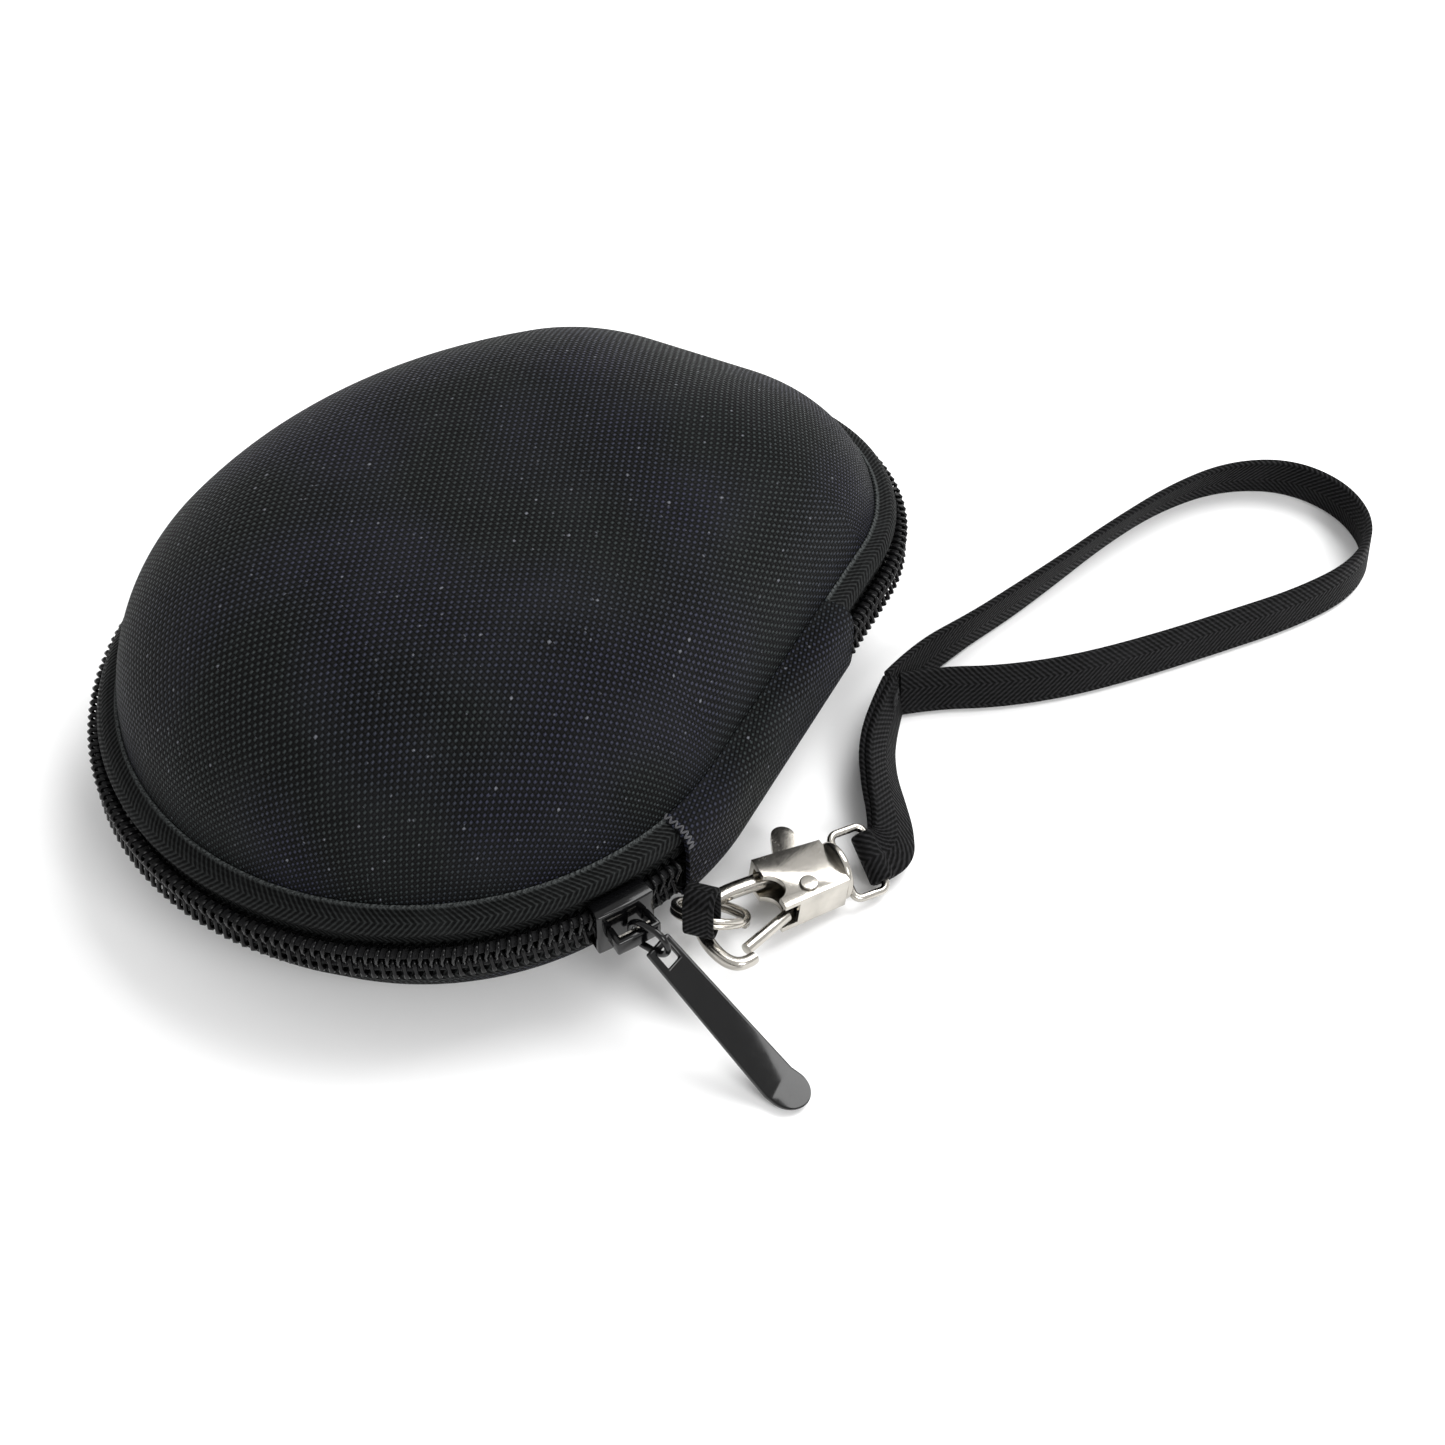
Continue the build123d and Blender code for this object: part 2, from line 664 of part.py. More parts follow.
roll = radians(bail_roll)
bail_across = clasp_across * cos(roll) + clasp_up * sin(roll)
bail_normal = clasp_axis.cross(bail_across)
bail_plane = Plane(origin=clasp_centre, x_dir=clasp_axis, z_dir=bail_normal)
with BuildPart() as strap_bail:
    with BuildSketch(bail_plane.offset(-bail_thickness / 2)):
        with Locations(((bail_start + bail_end) / 2, 0)):
            Rectangle(bail_reach, 2 * bail_half_width)
            Rectangle(
                bail_reach - 2 * bail_thickness,
                2 * (bail_half_width - bail_thickness),
                mode=Mode.SUBTRACT,
            )
    extrude(amount=bail_thickness)
    with BuildSketch(across_clasp(bail_start)):
        Circle(post_head_radius)
    extrude(amount=bail_thickness)
strap_bail.part.label = "strap_bail"
export_step(strap_bail.part, "parts/strap_bail.step")

# ---- split ring and its tab -------------------------------------------------------------------------
slope = radians(ring_slope)
down_heading = radians(ring_heading)
ring_down = Vector(cos(down_heading) * cos(slope), sin(down_heading) * cos(slope), -sin(slope))
ring_normal = Vector(cos(down_heading) * sin(slope), sin(down_heading) * sin(slope), cos(slope))
hook_seat = clasp_plane.from_local_coords(Vector(*hook_rest, 0))
ring_centre = hook_seat - ring_down * ring_seat
ring_plane = Plane(origin=ring_centre, x_dir=ring_down, z_dir=ring_normal)
with BuildPart() as split_ring:
    with BuildSketch(ring_plane.offset(-ring_height / 2)):
        Circle(ring_radius + ring_wire / 2)
        Circle(ring_radius - ring_wire / 2, mode=Mode.SUBTRACT)
    extrude(amount=ring_height)
split_ring.part.label = "split_ring"
export_step(split_ring.part, "parts/split_ring.step")

tab_point = ring_centre - ring_down * ring_radius
wire_dir = Vector(sin(down_heading), -cos(down_heading), 0)
tab_hole = sqrt(ring_wire**2 + ring_height**2) / 2 + tab_clearance
tab_outer = tab_hole + tab_cloth
tab_plane = Plane(
    origin=tab_point - wire_dir * (tab_width / 2), x_dir=(0, 0, 1), z_dir=wire_dir
)
tab_rise = tab_top - tab_point.Z - tab_outer
with BuildPart() as ring_tab:
    with BuildSketch(tab_plane):
        for radius, mode in ((tab_outer, Mode.ADD), (tab_hole, Mode.SUBTRACT)):
            with Locations((tab_rise / 2, 0)):
                SlotCenterToCenter(tab_rise, 2 * radius, mode=mode)
    extrude(amount=tab_width)
    with BuildSketch(Plane.XY.offset(tab_top - tongue_thickness)):
        Polygon(
            (0, tongue_front), (tab_point.X, tongue_front), (tab_point.X, tongue_rear),
            (0, tongue_rear), align=None,
        )
    extrude(amount=tongue_thickness)
    add(tray_blocks[1], mode=Mode.SUBTRACT)
    with BuildSketch(Plane.XY):
        make_face(case_outline(flange_width + cover_thickness))
    extrude(amount=2 * split_height, mode=Mode.SUBTRACT)
ring_tab.part.label = "ring_tab"
export_step(ring_tab.part, "parts/ring_tab.step")


# ---- wrist strap: stitched neck, loop and stitches ----------------------------------------------------
def bend_radii(route):
    """Radius at each inner point of a strap's route, from the runs and the turn beside it."""
    radii = []
    for before, here, after in zip(route, route[1:], route[2:]):
        arriving = Vector(*here) - Vector(*before)
        leaving = Vector(*after) - Vector(*here)
        turn = radians(arriving.get_angle(leaving))
        radii.append(0.45 * min(arriving.length, leaving.length) / tan(turn / 2))
    return radii


def strap_line(route):
    """Centre line of webbing that stands on its edge."""
    with BuildLine(Plane.XY.offset(strap_height)) as line:
        FilletPolyline(*route, radius=bend_radii(route))
    return line.line


def across_strap(line):
    """Section plane at the start of a strap's line, its X level and its Y upright."""
    start = line % 0
    return Plane(origin=line @ 0, x_dir=Vector(0, 0, 1).cross(start), z_dir=start)


bail_bar = clasp_centre + clasp_axis * (bail_end - bail_thickness / 2)
fold_hole = bail_thickness / sqrt(2) + fold_clearance
fold_outer = fold_hole + strap_thickness
fold_rise = fold_outer
fold_plane = Plane(
    origin=bail_bar - bail_across * (strap_width / 2), x_dir=clasp_axis, z_dir=bail_across
)
neck_line = strap_line(neck_route)
loop_line = strap_line(loop_route)
with BuildPart() as strap_neck:
    with BuildSketch(across_strap(neck_line)):
        Rectangle(neck_thickness, strap_width)
    sweep(path=neck_line)
    with BuildSketch(fold_plane):
        with Locations((fold_rise / 2, 0)):
            SlotCenterToCenter(fold_rise, 2 * fold_outer)
    extrude(amount=strap_width)
    with BuildSketch(fold_plane):
        Circle(fold_hole)
    extrude(amount=strap_width, mode=Mode.SUBTRACT)
strap_neck.part.label = "strap_neck"
export_step(strap_neck.part, "parts/strap_neck.step")

with BuildPart() as strap_loop:
    with BuildSketch(across_strap(loop_line)):
        Rectangle(strap_thickness, strap_width)
    sweep(path=loop_line)
strap_loop.part.label = "strap_loop"
export_step(strap_loop.part, "parts/strap_loop.step")

neck_end = neck_line @ 1
neck_along = neck_line % 1
neck_side = Vector(0, 0, 1).cross(neck_along)
stitch_step = (strap_width - 2 * stitch_length) / (stitch_rows - 1)
with BuildPart() as strap_stitches:
    for face in (-1, 1):
        seat = neck_side * (face * (neck_thickness + stitch_thickness) / 2)
        for row in range(stitch_rows):
            for back in stitch_backs:
                height = (row - (stitch_rows - 1) / 2) * stitch_step
                centre = neck_end - neck_along * back + seat + Vector(0, 0, height)
                with BuildSketch(Plane(origin=centre, x_dir=neck_along, z_dir=neck_side)):
                    Rectangle(stitch_length, stitch_thickness)
                extrude(amount=stitch_thickness / 2, both=True)
strap_stitches.part.label = "strap_stitches"
export_step(strap_stitches.part, "parts/strap_stitches.step")

for name, route, line in (("neck", neck_route, neck_line), ("loop", loop_route, loop_line)):
    print(name, "length", round(sum(edge.length for edge in line.edges()), 1))
    print(name, "radii", [round(radius, 1) for radius in bend_radii(route)])
joint_points = {
    "link_swing": link_root,
    "pull_lift": pull_pivot,
    "ring_turn": ring_centre,
    "strap_swing": hook_seat,
    "swivel_turn": clasp_centre,
    "gate_press": clasp_plane.from_local_coords(Vector(*gate_pivot, 0)),
}
for name, point in joint_points.items():
    print(name, "turns at", [round(value, 3) for value in point])
print("ring axis", ring_normal, "clasp axis", clasp_axis, "gate axis", -clasp_up)
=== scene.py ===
"""Zipped hard carrying case: the cloth, zip, metal and webbing that dress its CAD frame."""

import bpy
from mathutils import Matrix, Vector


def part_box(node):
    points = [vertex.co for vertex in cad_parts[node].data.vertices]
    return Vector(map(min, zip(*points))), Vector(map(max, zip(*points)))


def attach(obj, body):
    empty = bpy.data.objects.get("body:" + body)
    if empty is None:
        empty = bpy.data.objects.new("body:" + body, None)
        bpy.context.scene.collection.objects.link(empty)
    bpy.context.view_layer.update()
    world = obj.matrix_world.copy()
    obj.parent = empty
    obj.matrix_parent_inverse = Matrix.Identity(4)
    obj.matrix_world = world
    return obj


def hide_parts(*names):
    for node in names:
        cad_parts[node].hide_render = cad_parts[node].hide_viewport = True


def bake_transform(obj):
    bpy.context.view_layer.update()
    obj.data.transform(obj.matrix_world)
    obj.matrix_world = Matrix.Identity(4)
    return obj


bl_info = {
    "name": "Zipped Carrying Case",
    "version": (1, 0, 0),
    "blender": (4, 5, 0),
    "location": "View3D > Sidebar > Case",
    "description": "Moulded zip case with a trigger clasp and a wrist strap, piece by piece",
    "category": "Add Mesh",
}

from math import atan2, cos, exp, hypot, pi, radians, sin, sqrt

import bpy
from bpy.props import FloatProperty, FloatVectorProperty, IntProperty, PointerProperty
from bpy.types import Operator, Panel, PropertyGroup
from mathutils import Matrix, Vector

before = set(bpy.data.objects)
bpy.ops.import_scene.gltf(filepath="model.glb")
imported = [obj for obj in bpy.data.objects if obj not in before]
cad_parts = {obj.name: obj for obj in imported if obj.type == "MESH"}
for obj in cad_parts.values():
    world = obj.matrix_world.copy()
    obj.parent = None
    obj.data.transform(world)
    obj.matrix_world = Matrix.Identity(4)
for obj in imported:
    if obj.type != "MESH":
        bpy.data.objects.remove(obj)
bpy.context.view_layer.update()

MM = 0.001
UP = Vector((0, 0, 1))
THREAD = (0.012, 0.012, 0.013)  # colour of the sewing thread
FOAM = (0.016, 0.016, 0.017)  # colour of the moulded foam
SELVEDGE = 0.42  # corner radius of webbing over its thickness


def length(name, default, description):
    """A size in metres, given here in millimetres."""
    return FloatProperty(
        name=name, description=description, default=default * MM, unit="LENGTH", precision=5
    )


def turn(name, default, description):
    """An angle, given here in degrees."""
    return FloatProperty(
        name=name, description=description, default=radians(default), unit="ROTATION"
    )


def colour(name, default, description):
    """A colour in linear light."""
    return FloatVectorProperty(
        name=name, description=description, default=default, subtype="COLOR", size=3,
        min=0.0, max=1.0,
    )


# ---- sizes and colours that a user can change --------------------------------------------------


class CaseSizes(PropertyGroup):
    """Outline, domes and flange of the case."""

    front_radius: length("Front radius", 52.0, "Round front of the case, at the face of the zip")
    case_length: length("Length", 135.5, "From the front of the zip to its back")
    rear_right_radius: length("Rear right radius", 32.0, "Corner beside the hinge")
    rear_left_radius: length("Rear left radius", 36.0, "Corner across from the hinge")
    left_side_radius: length("Left side radius", 110.0, "Long curve of the left side")
    split_height: length("Split height", 18.0, "Plane where lid and tray meet")
    lid_rise: length("Lid rise", 29.5, "Height of the dome above its flange")
    lid_run: length("Lid run", 29.8, "How far the dome curves inwards")
    lid_lean: length("Lid lean", 14.0, "How far the rear slope is drawn forward")
    crown_angle: turn("Crown angle", 75.0, "Where the wall's curve passes into the crown")
    crown_rise: length("Crown rise", 1.5, "Swell of the crown above the end of the wall")
    flange_width: length("Flange width", 5.2, "From the zip's face to the foot of the dome")
    flange_top: length("Flange top", 6.7, "Top of the tape above the split")
    wall_rows: IntProperty(name="Wall rows", description="Rows of faces up the dome", default=34)
    round_columns: IntProperty(
        name="Columns", description="Columns of faces round the case", default=320
    )


class ZipSizes(PropertyGroup):
    """Coils of the zip, their filler cords and where they end."""

    tooth_pitch: length("Pitch", 1.5, "Distance between turns of the coil")
    coil_radius: length("Coil radius", 1.25, "Half the depth of each row of the coil")
    coil_gap: length("Coil gap", 0.5, "From the split to each row of the coil")
    coil_wire: length("Coil wire", 0.33, "Radius of the nylon filament")
    core_radius: length("Core radius", 0.72, "Radius of the filler cord in each coil")
    core_inset: length("Core inset", 1.35, "From the zip's face to the filler cord")
    core_height: length("Core height", 0.85, "From the coil's edge to the filler cord")
    front_end: turn("Front end", 18.5, "Angle ahead of the hinge side where the zip stops")
    rear_end: length("Rear end", 38.5, "Where the zip starts behind the hinge cloth")


class HingeSizes(PropertyGroup):
    """Ends of the cloth hinge, along the outline from the end of the round front."""

    front: length("Front edge", -14.2, "Front edge of the hinge cloth")
    rear: length("Rear edge", 38.0, "Rear edge of the hinge cloth")


class StrapSizes(PropertyGroup):
    """Webbing of the wrist strap and the lie of its loop."""

    width: length("Width", 8.0, "Width of the webbing")
    thickness: length("Thickness", 1.2, "Thickness of the webbing")
    height: length("Height", 4.3, "Middle of the webbing above the floor")
    loop_length: length("Loop length", 208.0, "Length of the loop from seam to seam")
    loop_lean: turn("Loop lean", 14.0, "How far the loop's upper edge leans inwards")
    rib_pitch: length("Rib pitch", 1.0, "Spacing of the ribs of the twill")


class ClaspSizes(PropertyGroup):
    """Place of the trigger clasp, and the ring and tab that it hangs on."""

    centre: FloatVectorProperty(
        name="Centre", description="Middle of the clasp's housing",
        default=(0.0608, -0.0005, 0.0058), subtype="XYZ", unit="LENGTH",
    )
    heading: turn("Heading", 56.0, "Plan direction from the hook to the strap")
    pitch: turn("Pitch", 6.5, "How much lower the strap's end lies")
    bail_roll: turn("Bail roll", 28.0, "Roll of the bail about the clasp")
    ring_radius: length("Ring radius", 5.4, "Middle of the split ring's wire")
    ring_slope: turn("Ring slope", 38.0, "Slope of the split ring")
    ring_heading: turn("Ring heading", 100.0, "Plan direction in which the ring slopes down")
    ring_seat: length("Ring seat", 1.0, "From the ring's centre to the hook's wire")
    tab_width: length("Tab width", 4.6, "Width of the webbing that holds the ring")
    tab_cloth: length("Tab cloth", 0.8, "Thickness of that webbing")
    tab_hollow: length("Tab hollow", 1.45, "Inner radius of its fold round the ring")


class Finishes(PropertyGroup):
    """Colours of the finishes and the weave of the cover."""

    cover: colour("Cover", (0.0300, 0.0314, 0.0360), "Woven outer cloth")
    tape: colour("Tape", (0.0075, 0.0082, 0.0082), "Twill of the zip's tape")
    webbing: colour("Webbing", (0.0065, 0.0065, 0.0070), "Wrist strap and tab")
    nylon: colour("Nylon", (0.0022, 0.0022, 0.0024), "Coil of the zip")
    enamel: colour("Enamel", (0.0016, 0.0016, 0.0018), "Slider and pull")
    nickel: colour("Nickel", (0.52, 0.495, 0.45), "Clasp and split ring")
    lining: colour("Lining", (0.0120, 0.0120, 0.0128), "Inner cloth")
    floor: colour("Floor", (0.93, 0.93, 0.93), "Studio floor")
    weave_pitch: length("Weave pitch", 0.60, "Distance between yarns of the cover")
    weave_turn: turn("Weave turn", 18.0, "How far the cover's warp is turned from the case")


# ---- small tools of the bench ------------------------------------------------------------------


def sizes():
    """The case's sizes, as the user has set them."""
    return bpy.context.scene.case_sizes


def looks():
    """The colours and weave, as the user has set them."""
    return bpy.context.scene.case_finishes


def eased(share):
    """A share from 0 to 1 that starts and stops gently."""
    return share * share * (3 - 2 * share)


def angles(start, stop, steps):
    """Evenly spaced angles from start to stop, both included."""
    return [start + (stop - start) * step / steps for step in range(steps + 1)]


def case_line(inset, lean, spots):
    """Points of the case's outline, drawn in by inset, with its rear drawn forward by lean."""
    case = sizes()
    front, left = case.front_radius, case.left_side_radius
    right_radius, far_radius = case.rear_right_radius, case.rear_left_radius
    rear = case.case_length - front

    far_x = left - front - sqrt((left - far_radius) ** 2 - (rear - far_radius) ** 2)

    def side_arcs(lean):
        """Rear centres and the arc that joins the front circle to the far corner."""
        far_y = rear - far_radius - lean
        reach = front + far_x
        radius = (reach**2 + far_y**2 - far_radius**2) / (2 * (reach - far_radius))
        angle = atan2(far_y, far_x - radius + front)
        return rear - right_radius - lean, far_y, radius, angle

    right_y, far_y, left_radius, left_angle = side_arcs(0.0)
    spans = [
        right_y,
        pi / 2 * right_radius,
        front - right_radius - far_x,
        (left_angle - pi / 2) * far_radius,
        (pi - left_angle) * left_radius,
        pi * front,
    ]
    total = sum(spans)
    right_y, far_y, left_radius, left_angle = side_arcs(lean)
    points = []
    for spot in spots:
        way = spot % 1.0 * total
        part = 0
        while part < 5 and way > spans[part]:
            way -= spans[part]
            part += 1
        share = way / spans[part]
        if part == 0:
            points.append((front - inset, share * right_y))
        elif part == 2:
            points.append((
                front - right_radius + share * (far_x - front + right_radius),
                right_y + right_radius - inset,
            ))
        else:
            x, y, radius, start, sweep = {
                1: (front - right_radius, right_y, right_radius, 0.0, pi / 2),
                3: (far_x, far_y, far_radius, pi / 2, left_angle - pi / 2),
                4: (left_radius - front, 0.0, left_radius, left_angle, pi - left_angle),
                5: (0.0, 0.0, front, pi, pi),
            }[part]
            angle = start + share * sweep
            points.append((x + (radius - inset) * cos(angle), y + (radius - inset) * sin(angle)))
    return points


def outline_spots(count, start=0.0, stop=1.0):
    """Evenly spaced spots on the outline, as shares of its length."""
    return [start + (stop - start) * index / count for index in range(count + 1)]


def outline_total():
    """Length of the outline at the zip's face."""
    count = 720
    line = case_line(0.0, 0.0, outline_spots(count))
    return sum(hypot(b[0] - a[0], b[1] - a[1]) for a, b in zip(line, line[1:]))


def outward(spots, lean=0.0):
    """Plan directions that face out of the case at each spot."""
    near, far = case_line(0.001, lean, spots), case_line(0.0, lean, spots)
    return [Vector((b[0] - a[0], b[1] - a[1], 0)).normalized() for a, b in zip(near, far)]


def ring_at(spots, inset, height, lean=0.0):
    """Points of the outline at a height, drawn in by inset."""
    return [Vector((x, y, height)) for x, y in case_line(inset, lean, spots)]


def profile_rows(profile, spots, total):
    """Rows along the outline for a profile of (inset, height above the split), and their UVs."""
    rows, flat, way = [], [], 0.0
    before = profile[0]
    for inset, height in profile:
        way += hypot(inset - before[0], height - before[1])
        before = (inset, height)
        rows.append(ring_at(spots, inset, sizes().split_height + height))
        flat.append([(spot * total, way) for spot in spots])
    return rows, flat


def dome_map(levels, edge_row, faces_out):
    """UVs of a dome: flat from its edge row inwards, and rolled out flat below that row."""
    edge = levels[edge_row]
    flat = {row: [(p.x, p.y) for p in ring] for row, ring in enumerate(levels)}
    reach = [0.0] * len(edge)
    for row in range(edge_row, -1, -1):
        if row < edge_row:
            reach = [
                far + (a - b).length
                for far, a, b in zip(reach, levels[row], levels[row + 1])
            ]
        flat[row] = [
            (p.x + out.x * far, p.y + out.y * far)
            for p, out, far in zip(edge, faces_out, reach)
        ]
    return [flat[row] for row in range(len(levels))]


def laid_grid(name, points, flat):
    """A grid primitive laid over rows of points, with its UV map in metres."""
    rows, columns = len(points) - 1, len(points[0]) - 1
    bpy.ops.object.select_all(action="DESELECT")
    bpy.ops.mesh.primitive_grid_add(x_subdivisions=columns, y_subdivisions=rows, size=1.0)
    piece = bpy.context.object
    piece.name = piece.data.name = name
    mesh = piece.data
    mesh.vertices.foreach_set("co", [value for row in points for point in row for value in point])
    flats = [pair for row in flat for pair in row]
    cloth = mesh.uv_layers.active.data
    for loop in mesh.loops:
        cloth[loop.index].uv = flats[loop.vertex_index]
    mesh.update()
    return piece


def pick(piece):
    """Selects one piece alone and makes it active."""
    bpy.ops.object.select_all(action="DESELECT")
    piece.select_set(True)
    bpy.context.view_layer.objects.active = piece


def in_edit(piece):
    """Takes one piece alone into edit mode with everything on it selected."""
    pick(piece)
    bpy.ops.object.mode_set(mode="EDIT")
    bpy.ops.mesh.select_all(action="SELECT")


def close_seams(piece, caps=True, smooth=40.0):
    """Merges seams, fills open ends, turns the faces outwards and smooths all but sharp edges."""
    in_edit(piece)
    bpy.ops.mesh.remove_doubles(threshold=0.000004)
    if caps:
        bpy.ops.mesh.fill_holes(sides=0)
    bpy.ops.mesh.select_all(action="SELECT")
    bpy.ops.mesh.normals_make_consistent(inside=False)
    bpy.ops.object.mode_set(mode="OBJECT")
    bpy.ops.object.shade_smooth_by_angle(angle=radians(smooth))
    return piece


def apply_modifier(piece, kind, **settings):
    """Gives a piece a modifier with these settings and applies it."""
    pick(piece)
    modifier = piece.modifiers.new(kind.title(), kind)
    for key, value in settings.items():
        setattr(modifier, key, value)
    bpy.ops.object.modifier_apply(modifier=modifier.name)


def thickened(piece, outwards, thickness, smooth):
    """Turns the faces of a sheet outwards, then gives it its thickness on the inside."""
    far = max(piece.data.polygons, key=lambda face: face.center.dot(outwards))
    if far.normal.dot(outwards) < 0:
        piece.data.flip_normals()
    apply_modifier(piece, "SOLIDIFY", thickness=thickness, offset=-1.0, use_rim=True)
    bpy.ops.object.shade_smooth_by_angle(angle=radians(smooth))
    return piece


def swept(name, stations, section, closed=False, smooth=40.0):
    """A section carried along stations of (centre, across, upright, scale of each)."""
    rows, flat, way = [], [], 0.0
    stations = list(stations) + ([stations[0]] if closed else [])
    ring = list(section) + [section[0]]
    around = [0.0]
    for a, b in zip(ring, ring[1:]):
        around.append(around[-1] + hypot(b[0] - a[0], b[1] - a[1]))
    before = stations[0][0]
    for centre, across, upright, wide, tall in stations:
        way += (centre - before).length
        before = centre
        rows.append([centre + across * (x * wide) + upright * (y * tall) for x, y in ring])
        flat.append([(way, distance) for distance in around])
    return close_seams(laid_grid(name, rows, flat), caps=not closed, smooth=smooth)


def bar_section(width, height, corner, steps=3):
    """Rounded rectangle, anticlockwise."""
    points = []
    for x, y, start in ((1, -1, -90), (1, 1, 0), (-1, 1, 90), (-1, -1, 180)):
        for angle in angles(radians(start), radians(start + 90), steps):
            points.append((
                x * (width / 2 - corner) + corner * cos(angle),
                y * (height / 2 - corner) + corner * sin(angle),
            ))
    return points


def round_section(radius, sides):
    """Circle, anticlockwise."""
    return [
        (radius * cos(2 * pi * side / sides), radius * sin(2 * pi * side / sides))
        for side in range(sides)
    ]


def smooth_line(route, samples=10):
    """Points on a NURBS line through the region of a route, in metres."""
    curve = bpy.data.curves.new("route", "CURVE")
    curve.dimensions = "3D"
    spline = curve.splines.new("NURBS")
    spline.points.add(len(route) - 1)
    for point, place in zip(spline.points, route):
        point.co = (*place, 1)
    spline.order_u = 3
    spline.use_endpoint_u = True
    spline.resolution_u = samples
    holder = bpy.data.objects.new("route", curve)
    bpy.context.scene.collection.objects.link(holder)
    bpy.context.view_layer.update()
    graph = bpy.context.evaluated_depsgraph_get()
    mesh = bpy.data.meshes.new_from_object(holder.evaluated_get(graph))
    line = [vertex.co.copy() for vertex in mesh.vertices]
    bpy.data.objects.remove(holder)
    bpy.data.curves.remove(curve)
    bpy.data.meshes.remove(mesh)
    clean = [line[0]]
    for point in line[1:]:
        if (point - clean[-1]).length > 0.00002:
            clean.append(point)
    return clean


def directions(line):
    """Unit direction of a line at each of its points."""
    found = []
    for index, _ in enumerate(line):
        before, after = line[max(index - 1, 0)], line[min(index + 1, len(line) - 1)]
        found.append((after - before).normalized())
    return found


def rounded_copy(name, node, bevel, segments=3, smooth=32.0):
    """A copy of a CAD node with its loose faces merged, its flats cleaned and its edges rounded."""
    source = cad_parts[node]
    piece = bpy.data.objects.new(name, source.data.copy())
    piece.data.name = name
    piece.data.materials.clear()
    bpy.context.scene.collection.objects.link(piece)
    in_edit(piece)
    bpy.ops.mesh.remove_doubles(threshold=0.00001)
    bpy.ops.mesh.customdata_custom_splitnormals_clear()
    bpy.ops.mesh.dissolve_limited(angle_limit=radians(1.5))
    bpy.ops.object.mode_set(mode="OBJECT")
    apply_modifier(
        piece, "BEVEL", width=bevel, segments=segments, limit_method="ANGLE",
        angle_limit=radians(34), use_clamp_overlap=True, harden_normals=False,
    )
    bpy.ops.object.shade_smooth_by_angle(angle=radians(smooth))
    return piece


def strung(name, turn_mesh, places):
    """One small shape repeated at many places, as a single piece."""
    count, faces = len(turn_mesh.vertices), [tuple(p.vertices) for p in turn_mesh.polygons]
    shape = [vertex.co.copy() for vertex in turn_mesh.vertices]
    points, sides = [], []
    for index, place in enumerate(places):
        points.extend(place @ point for point in shape)
        sides.extend(tuple(v + index * count for v in face) for face in faces)
    mesh = bpy.data.meshes.new(name)
    mesh.from_pydata(points, [], sides)
    piece = bpy.data.objects.new(name, mesh)
    bpy.context.scene.collection.objects.link(piece)
    pick(piece)
    bpy.ops.object.shade_smooth()
    return piece


def stitched(name, places):
    """A row of stitches: a small ball drawn out at each place, as a single piece."""
    bpy.ops.object.select_all(action="DESELECT")
    bpy.ops.mesh.primitive_uv_sphere_add(segments=8, ring_count=6, radius=1.0)
    bead = bpy.context.object
    stitches = strung(name, bead.data, places)
    bpy.data.objects.remove(bead)
    return stitches


def set_at(point, axes):
    """The place of a shape that stands at a point with its own three axes."""
    return Matrix.Translation(point) @ Matrix(axes).transposed().to_4x4()


def dress(piece, finish):
    """Gives a piece one finish alone."""
    piece.data.materials.clear()
    piece.data.materials.append(finish)


def hand_over(piece, body, slot, finish, *nodes):
    """Gives a finished piece its finish and its body, and hides the CAD nodes that it stands for;
    the slot is not used.
    """
    dress(piece, finish)
    if body:
        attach(piece, body)
    if nodes:
        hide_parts(*nodes)
    return piece


# ---- finishes ----------------------------------------------------------------------------------


def add_node(tree, kind, sockets=None, **settings):
    """A shader node with its settings, and with its sockets linked or set."""
    node = tree.nodes.new(kind)
    for key, value in settings.items():
        setattr(node, key, value)
    for key, value in (sockets or {}).items():
        if isinstance(value, bpy.types.NodeSocket):
            tree.links.new(value, node.inputs[key])
        else:
            node.inputs[key].default_value = value
    return node


def work_out(tree, operation, first, second=0.0):
    """One step of arithmetic."""
    return add_node(
        tree, "ShaderNodeMath", {0: first, 1: second}, operation=operation
    ).outputs["Value"]


def times(tree, first, second):
    """Product of two values."""
    return work_out(tree, "MULTIPLY", first, second)


def plus(tree, first, second):
    """Sum of two values."""
    return work_out(tree, "ADD", first, second)


def grade(tree, value, low, high, bottom, top):
    """A value between low and high, carried to the range from bottom to top."""
    return add_node(
        tree, "ShaderNodeMapRange",
        {"Value": value, "From Min": low, "From Max": high, "To Min": bottom, "To Max": top},
    ).outputs["Result"]


def tint(tree, share, low, high):
    """Colour between low and high by a share."""
    ramp = add_node(tree, "ShaderNodeMix", {"Factor": share}, data_type="RGBA")
    for key, value in ((6, low), (7, high)):
        if isinstance(value, bpy.types.NodeSocket):
            tree.links.new(value, ramp.inputs[key])
        else:
            ramp.inputs[key].default_value = (*value, 1.0)
    return ramp.outputs[2]


def noise(tree, place, scale, detail=2.0, roughness=0.5):
    """Soft noise between 0 and 1, with about scale patches to the metre."""
    return add_node(
        tree, "ShaderNodeTexNoise",
        {"Vector": place, "Scale": scale, "Detail": detail, "Roughness": roughness},
    ).outputs["Fac"]


def start_finish(name, **sockets):
    """A new material with its shader's own sockets set."""
    material = bpy.data.materials.new(name)
    material.use_nodes = True
    tree = material.node_tree
    shader = tree.nodes["Principled BSDF"]
    for key, value in sockets.items():
        shader.inputs[key.replace("_", " ")].default_value = value
    return material, tree, shader


